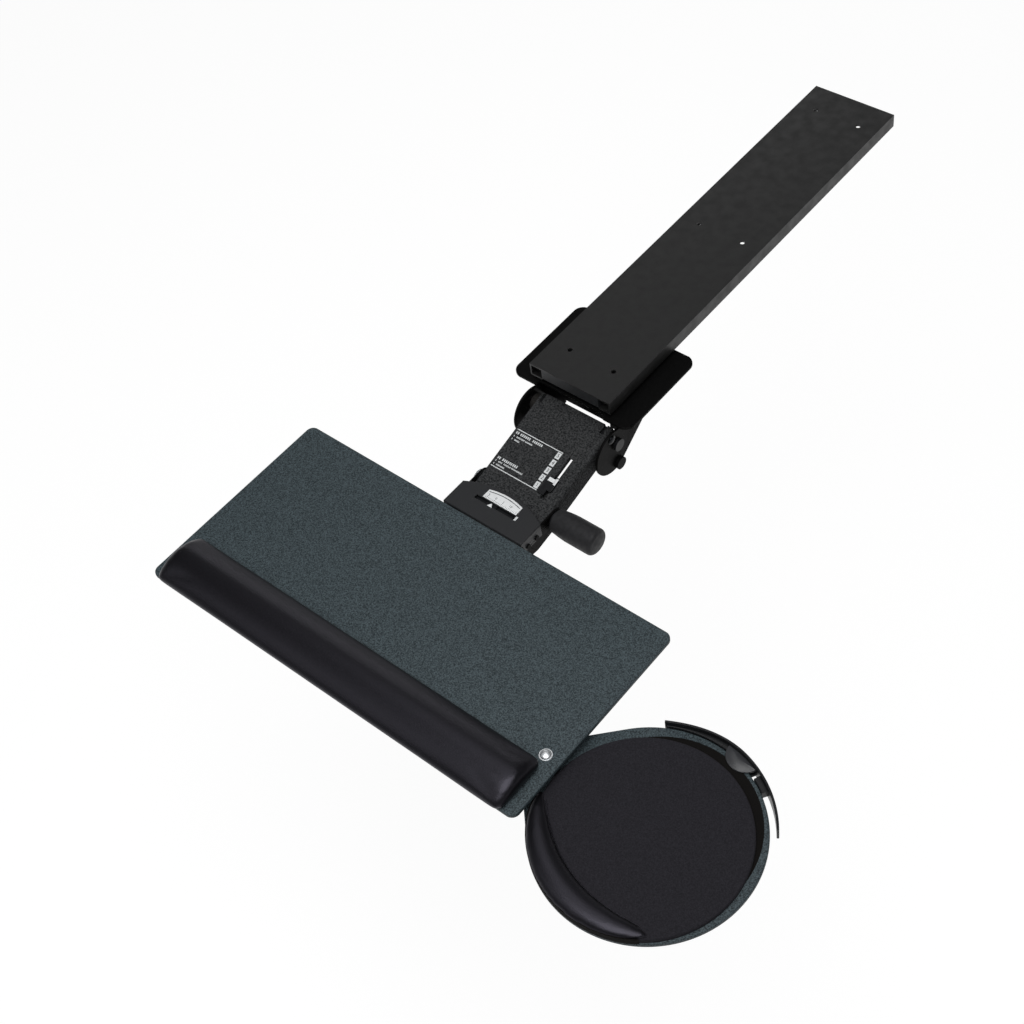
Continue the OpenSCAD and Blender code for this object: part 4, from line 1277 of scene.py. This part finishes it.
class TRAY_OT_head(bpy.types.Operator):
    """Head cover, gauge and its print: arc, degree ticks and plain numbers"""

    bl_idname = "tray.head"
    bl_label = "Head cover and gauge"

    near = 0.2 * MM
    cover_edge = 2.0 * MM
    # rectangles counted from the cover's front edge
    # under the window, a black sheet paints the shade inside the head cover
    window = mm(-31, 18, 31, 30)
    tick = mm(26.8, 21.4, 29.2, 27)
    liner_low, liner_high = mm(2.2, 0.6)
    tick_deep, tick_proud = mm(0.4, 0.15)
    gauge_left, gauge_rise, gauge_edge = mm(-21.6, 3.6, 0.2)
    filler_over = 0.2 * MM
    filler_short = 0.8
    dial_in, dial_back, dial_rise, dial_line = mm(2.2, 3.0, 2.9, 0.45)
    zero, degree = mm(-7.0, 2.0)
    mark_half, mark_short, mark_long, mark_up = mm(0.16, 1.5, 2.6, 0.9)
    number, number_up = mm(4.2, 4.6)
    numbered = (5, 0, -5, -10)
    least_edge = 0.25
    ink_low, ink_high = mm(-0.05, 0.06)

    def execute(self, context):
        black = finish_of("polished_abs_black")
        low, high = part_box("head_cover")

        def outer(middle, way):
            """The full rounding along the upper edges of the sides and the front."""
            side = high.x - abs(middle.x) < self.near
            front = middle.y - low.y < self.near
            return 1.0 if high.z - middle.z < self.near and (side or front) else None

        cover = eased("head_cover", "head_cover_shell", self.cover_edge, self.least_edge, outer)
        put(cover, "tray", "grey_plastic", grey_abs(), "head_cover")
        self.gauge(high.z)
        dress(black, "tilt_pointer")
        self.arrowhead()
        self.dial()
        front = Matrix.Translation((0, low.y, 0))
        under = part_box("tilt_pointer")[0].z
        # a black sheet under the window paints the shade inside the head cover seen through it
        shade_sheet = slabs("window_shade_sheet", [self.window], front, under - self.liner_low, under - self.liner_high)
        put(shade_sheet, "tray", "black_plastic", black)
        end = slabs("window_tick", [self.tick], front, high.z - self.tick_deep, high.z + self.tick_proud)
        put(end, "tray", "white_plastic", finish_of("screen_ink_white"))
        return {"FINISHED"}

    def arrowhead(self):
        """A white three-sided block on the tilt slider that points at the gauge."""
        low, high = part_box("tilt_pointer")
        plan = np.array([mm(-10.0, 0.3), mm(-3.2, 0.3), mm(-6.6, 4.9)]) + np.array([0, low.y])
        rings = [np.insert(plan, 2, high.z + rise, axis=1) for rise in mm(-0.6, 0.25)]
        block = skin("tilt_arrowhead", rings)
        put(block, "tilt_marker", "white_plastic", finish_of("moulded_abs_white"))

    def gauge(self, level):
        """White gauge: an upright-sided plate whose rear edge is an arc, and a filler at its left."""
        low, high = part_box("gauge_plate")
        middle, half = (self.gauge_left + high.x) / 2, (high.x - self.gauge_left) / 2
        radius, swing = bow(half, self.gauge_rise)
        back = arc((middle, high.y - radius), radius, math.pi / 2 - swing, math.pi / 2 + swing, 40)
        outline = np.vstack([[self.gauge_left, low.y], [high.x, low.y], back])
        plate = skin("gauge_face", panel_rings(outline, low.z, high.z, self.gauge_edge, 3))
        put(plate, "tray", "white_plastic", finish_of("moulded_abs_white"), "gauge_plate")
        rear = high.y - self.filler_short * self.gauge_rise
        side = (low.x - self.filler_over, low.y, self.gauge_left, rear)
        filler = slabs("gauge_filler", [side], Matrix(), low.z, level)
        put(filler, "tray", "grey_plastic", finish_of("moulded_abs_grey"))

    def dial(self):
        """Print on the gauge: a thin arc along its rear edge, a tick for each degree, longer ones for
        each fifth, and plain numbers over some of these."""
        low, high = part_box("gauge_plate")
        middle, half = (self.gauge_left + high.x) / 2, (high.x - self.gauge_left) / 2 - self.dial_in
        radius, swing = bow(half, self.dial_rise)
        hub = Vector((middle, high.y - self.dial_back - radius))
        way = np.linspace(math.pi / 2 - swing, math.pi / 2 + swing, 40)[:, None]
        section = radius + self.dial_line * np.array([[-1, 1, 1, -1]]) + 0 * way
        heights = high.z + np.array([self.ink_low] * 2 + [self.ink_high] * 2)
        line = skin("dial_arc", polar_rings(hub, section, way, heights))
        level = Matrix.Translation((0, 0, high.z))
        turn = np.arange(-15, 7)
        x = self.zero - self.degree * turn
        tall = np.where(turn % 5 == 0, self.mark_long, self.mark_short)
        foot = low.y + self.mark_up
        ends = zip(x - self.mark_half, x + self.mark_half, foot + tall)
        ticks = [(left, foot, right, back) for left, right, back in ends]
        grid = slabs("dial_ticks", ticks, level, self.ink_low, self.ink_high)
        places = [(turn, self.zero - self.degree * turn) for turn in self.numbered]
        marks = [(str(abs(turn)), place, foot + self.number_up) for turn, place in places]
        numbers = digits("dial_numbers", marks, self.number, level)
        dial = join("gauge_print", [line, grid, numbers])
        put(dial, "tray", "black_plastic", finish_of("screen_ink_dark"))


class TRAY_OT_knob(bpy.types.Operator):
    """Tilt knob: a rubber grip that swells from a slim root to a round end"""

    bl_idname = "tray.knob"
    bl_label = "Tilt knob"

    crown = 1.2 * MM
    straight = 6 * MM

    def execute(self, context):
        low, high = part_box("tilt_knob")
        axis = joint_place("tilt")
        profile = self.profile(high.x - low.x, (high.z - low.z) / 2)
        rings = lathe_rings(profile, (low.x, axis.y, axis.z), RIGHT, AWAY)
        put(skin("knob_grip", rings, capped=False), "knob", "rubber", soft_rubber(), "tilt_knob")
        return {"FINISHED"}

    def profile(self, long, full):
        """A turned profile: the radius grows from the root by sin(a) ** 1.15, a running to 90 degrees over
        the flare, then follow a straight part, a quarter circle and a shallow domed face."""
        size = sizes()
        run = np.linspace(0, size.knob_flare, 24)
        ease = np.sin(run / size.knob_flare * math.pi / 2) ** 1.15
        flare = np.stack([run, size.knob_root + (full - size.knob_root) * ease], axis=-1)
        end = size.knob_round
        start = long - self.crown - end
        bend = np.linspace(0, math.pi / 2, 12)
        rim = np.stack([start + end * np.sin(bend), full - end + end * np.cos(bend)], axis=-1)
        face = np.linspace(1, 0, 10)[1:]
        dome = np.stack([long - self.crown * face**2, (full - end) * face], axis=-1)
        return np.vstack([[0, 0], flare, [start - self.straight, full], rim, dome])


class TRAY_OT_hardware(bpy.types.Operator):
    """Chrome cap, rivets, pins, bolts, track and carriage"""

    bl_idname = "tray.hardware"
    bl_label = "Hardware"

    rivet, rivet_lip, rivet_sunk = mm(5.5, 0.7, 0.2)
    rivet_dome = 0.94
    cap_lip, cap_shoulder, cap_foot, cap_slope = mm(0.9, 1.1, 0.2, 0.3)

    def execute(self, context):
        self.cap()
        self.rivets()
        zinc = zinc_plate()
        dress(zinc, "swivel_stud", "swivel_nut", "tilt_bolt", "head_link_pin", "bracket_screws")
        dress(zinc, "mouse_pivot_bolt", "mouse_pivot_nut", "carriage_plate")
        dress(electrocoat(), "track_rail")
        dress(finish_of("satin_enamel"), "link_pin", "lower_link", "head_block", "cover_screws")
        dress(finish_of("polished_abs_black"), "lift_pin", "tilt_washers", "link_spacers")
        dress(finish_of("moulded_abs_grey"), "front_stop", "rear_stop", "mouse_spacer", "palm_rest_base")
        dress(natural_nylon(), "carriage_glides", "swivel_washer")
        dress(brake_lining(), "friction_discs")
        dress(oiled_spring_steel(), "lift_spring")
        dress(turned_brass(), "knob_insert")
        return {"FINISHED"}

    def rivets(self):
        """Domed rivet heads on both cheeks: each is a turned quarter of an ellipse with a small lip."""
        low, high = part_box("bracket_rivets")
        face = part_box("right_cheek")[1].x - self.rivet_sunk
        rise = high.x - face - self.rivet_lip
        bend = np.linspace(0, math.pi / 2, 12)
        dome = [self.rivet_lip + rise * np.sin(bend), self.rivet * self.rivet_dome * np.cos(bend)]
        lip = [[0, 0], [0, self.rivet], [self.rivet_lip, self.rivet]]
        profile = np.vstack([lip, np.stack(dome, axis=-1)])
        parts = []
        for side in (-1, 1):
            for y in (low.y + self.rivet, high.y - self.rivet):
                place = (side * face, y, (low.z + high.z) / 2)
                rings = lathe_rings(profile, place, (side, 0, 0), (0, side, 0), 48)
                parts.append(skin("head", rings, capped=False))
        put(join("rivet_heads", parts), "swivel", "black_steel", black_zinc(), "bracket_rivets")

    def cap(self):
        """Domed cap of the mouse pivot: a turned quarter of an ellipse over a low lip."""
        low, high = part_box("mouse_pivot_cap")
        middle, radius, tall = (low + high) / 2, (high.x - low.x) / 2, high.z - low.z
        swing = np.linspace(math.pi / 2, 0, 20)
        rise = self.cap_lip + (tall - self.cap_lip) * np.cos(swing)
        dome = np.stack([rise, (radius - self.cap_shoulder) * np.sin(swing)], axis=-1)
        lip = [
            [0, 0],
            [0, radius - self.cap_foot],
            [self.cap_foot, radius],
            [self.cap_lip, radius - self.cap_slope],
        ]
        profile = np.vstack([lip, dome])
        rings = lathe_rings(profile, (middle.x, middle.y, low.z), UP, RIGHT, 64)
        cap = skin("pivot_cap_dome", rings, capped=False)
        put(cap, "tray", "chrome", bright_chrome(), "mouse_pivot_cap")


class TRAY_PT_pieces(bpy.types.Panel):
    """Lists the tray's operators and values"""

    bl_idname = "TRAY_PT_pieces"
    bl_label = "Keyboard tray"
    bl_space_type = "VIEW_3D"
    bl_region_type = "UI"
    bl_category = "Tray"

    def draw(self, context):
        for operator in OPERATORS:
            self.layout.operator(operator.bl_idname)
        for group in (context.scene.tray_sizes, context.scene.tray_colours):
            box = self.layout.box()
            for name in group.__annotations__:
                box.prop(group, name)


OPERATORS = (
    TRAY_OT_stage,
    TRAY_OT_board,
    TRAY_OT_platform,
    TRAY_OT_palm_rest,
    TRAY_OT_mouse_pad,
    TRAY_OT_crescent,
    TRAY_OT_guard,
    TRAY_OT_arm,
    TRAY_OT_arm_print,
    TRAY_OT_pointer,
    TRAY_OT_head,
    TRAY_OT_knob,
    TRAY_OT_hardware,
)
CLASSES = (TraySizes, TrayColours, *OPERATORS, TRAY_PT_pieces)


def register():
    """Adds the classes and the scene's values."""
    for cls in CLASSES:
        bpy.utils.register_class(cls)
    bpy.types.Scene.tray_sizes = PointerProperty(type=TraySizes)
    bpy.types.Scene.tray_colours = PointerProperty(type=TrayColours)


def unregister():
    """Takes the values and the classes away again."""
    del bpy.types.Scene.tray_colours
    del bpy.types.Scene.tray_sizes
    for cls in reversed(CLASSES):
        bpy.utils.unregister_class(cls)


def main():
    """Builds every piece in order."""
    register()
    for operator in OPERATORS:
        group, name = operator.bl_idname.split(".")
        if getattr(getattr(bpy.ops, group), name)() != {"FINISHED"}:
            raise RuntimeError(f"{operator.bl_label} was not finished")


if __name__ == "__main__":
    main()
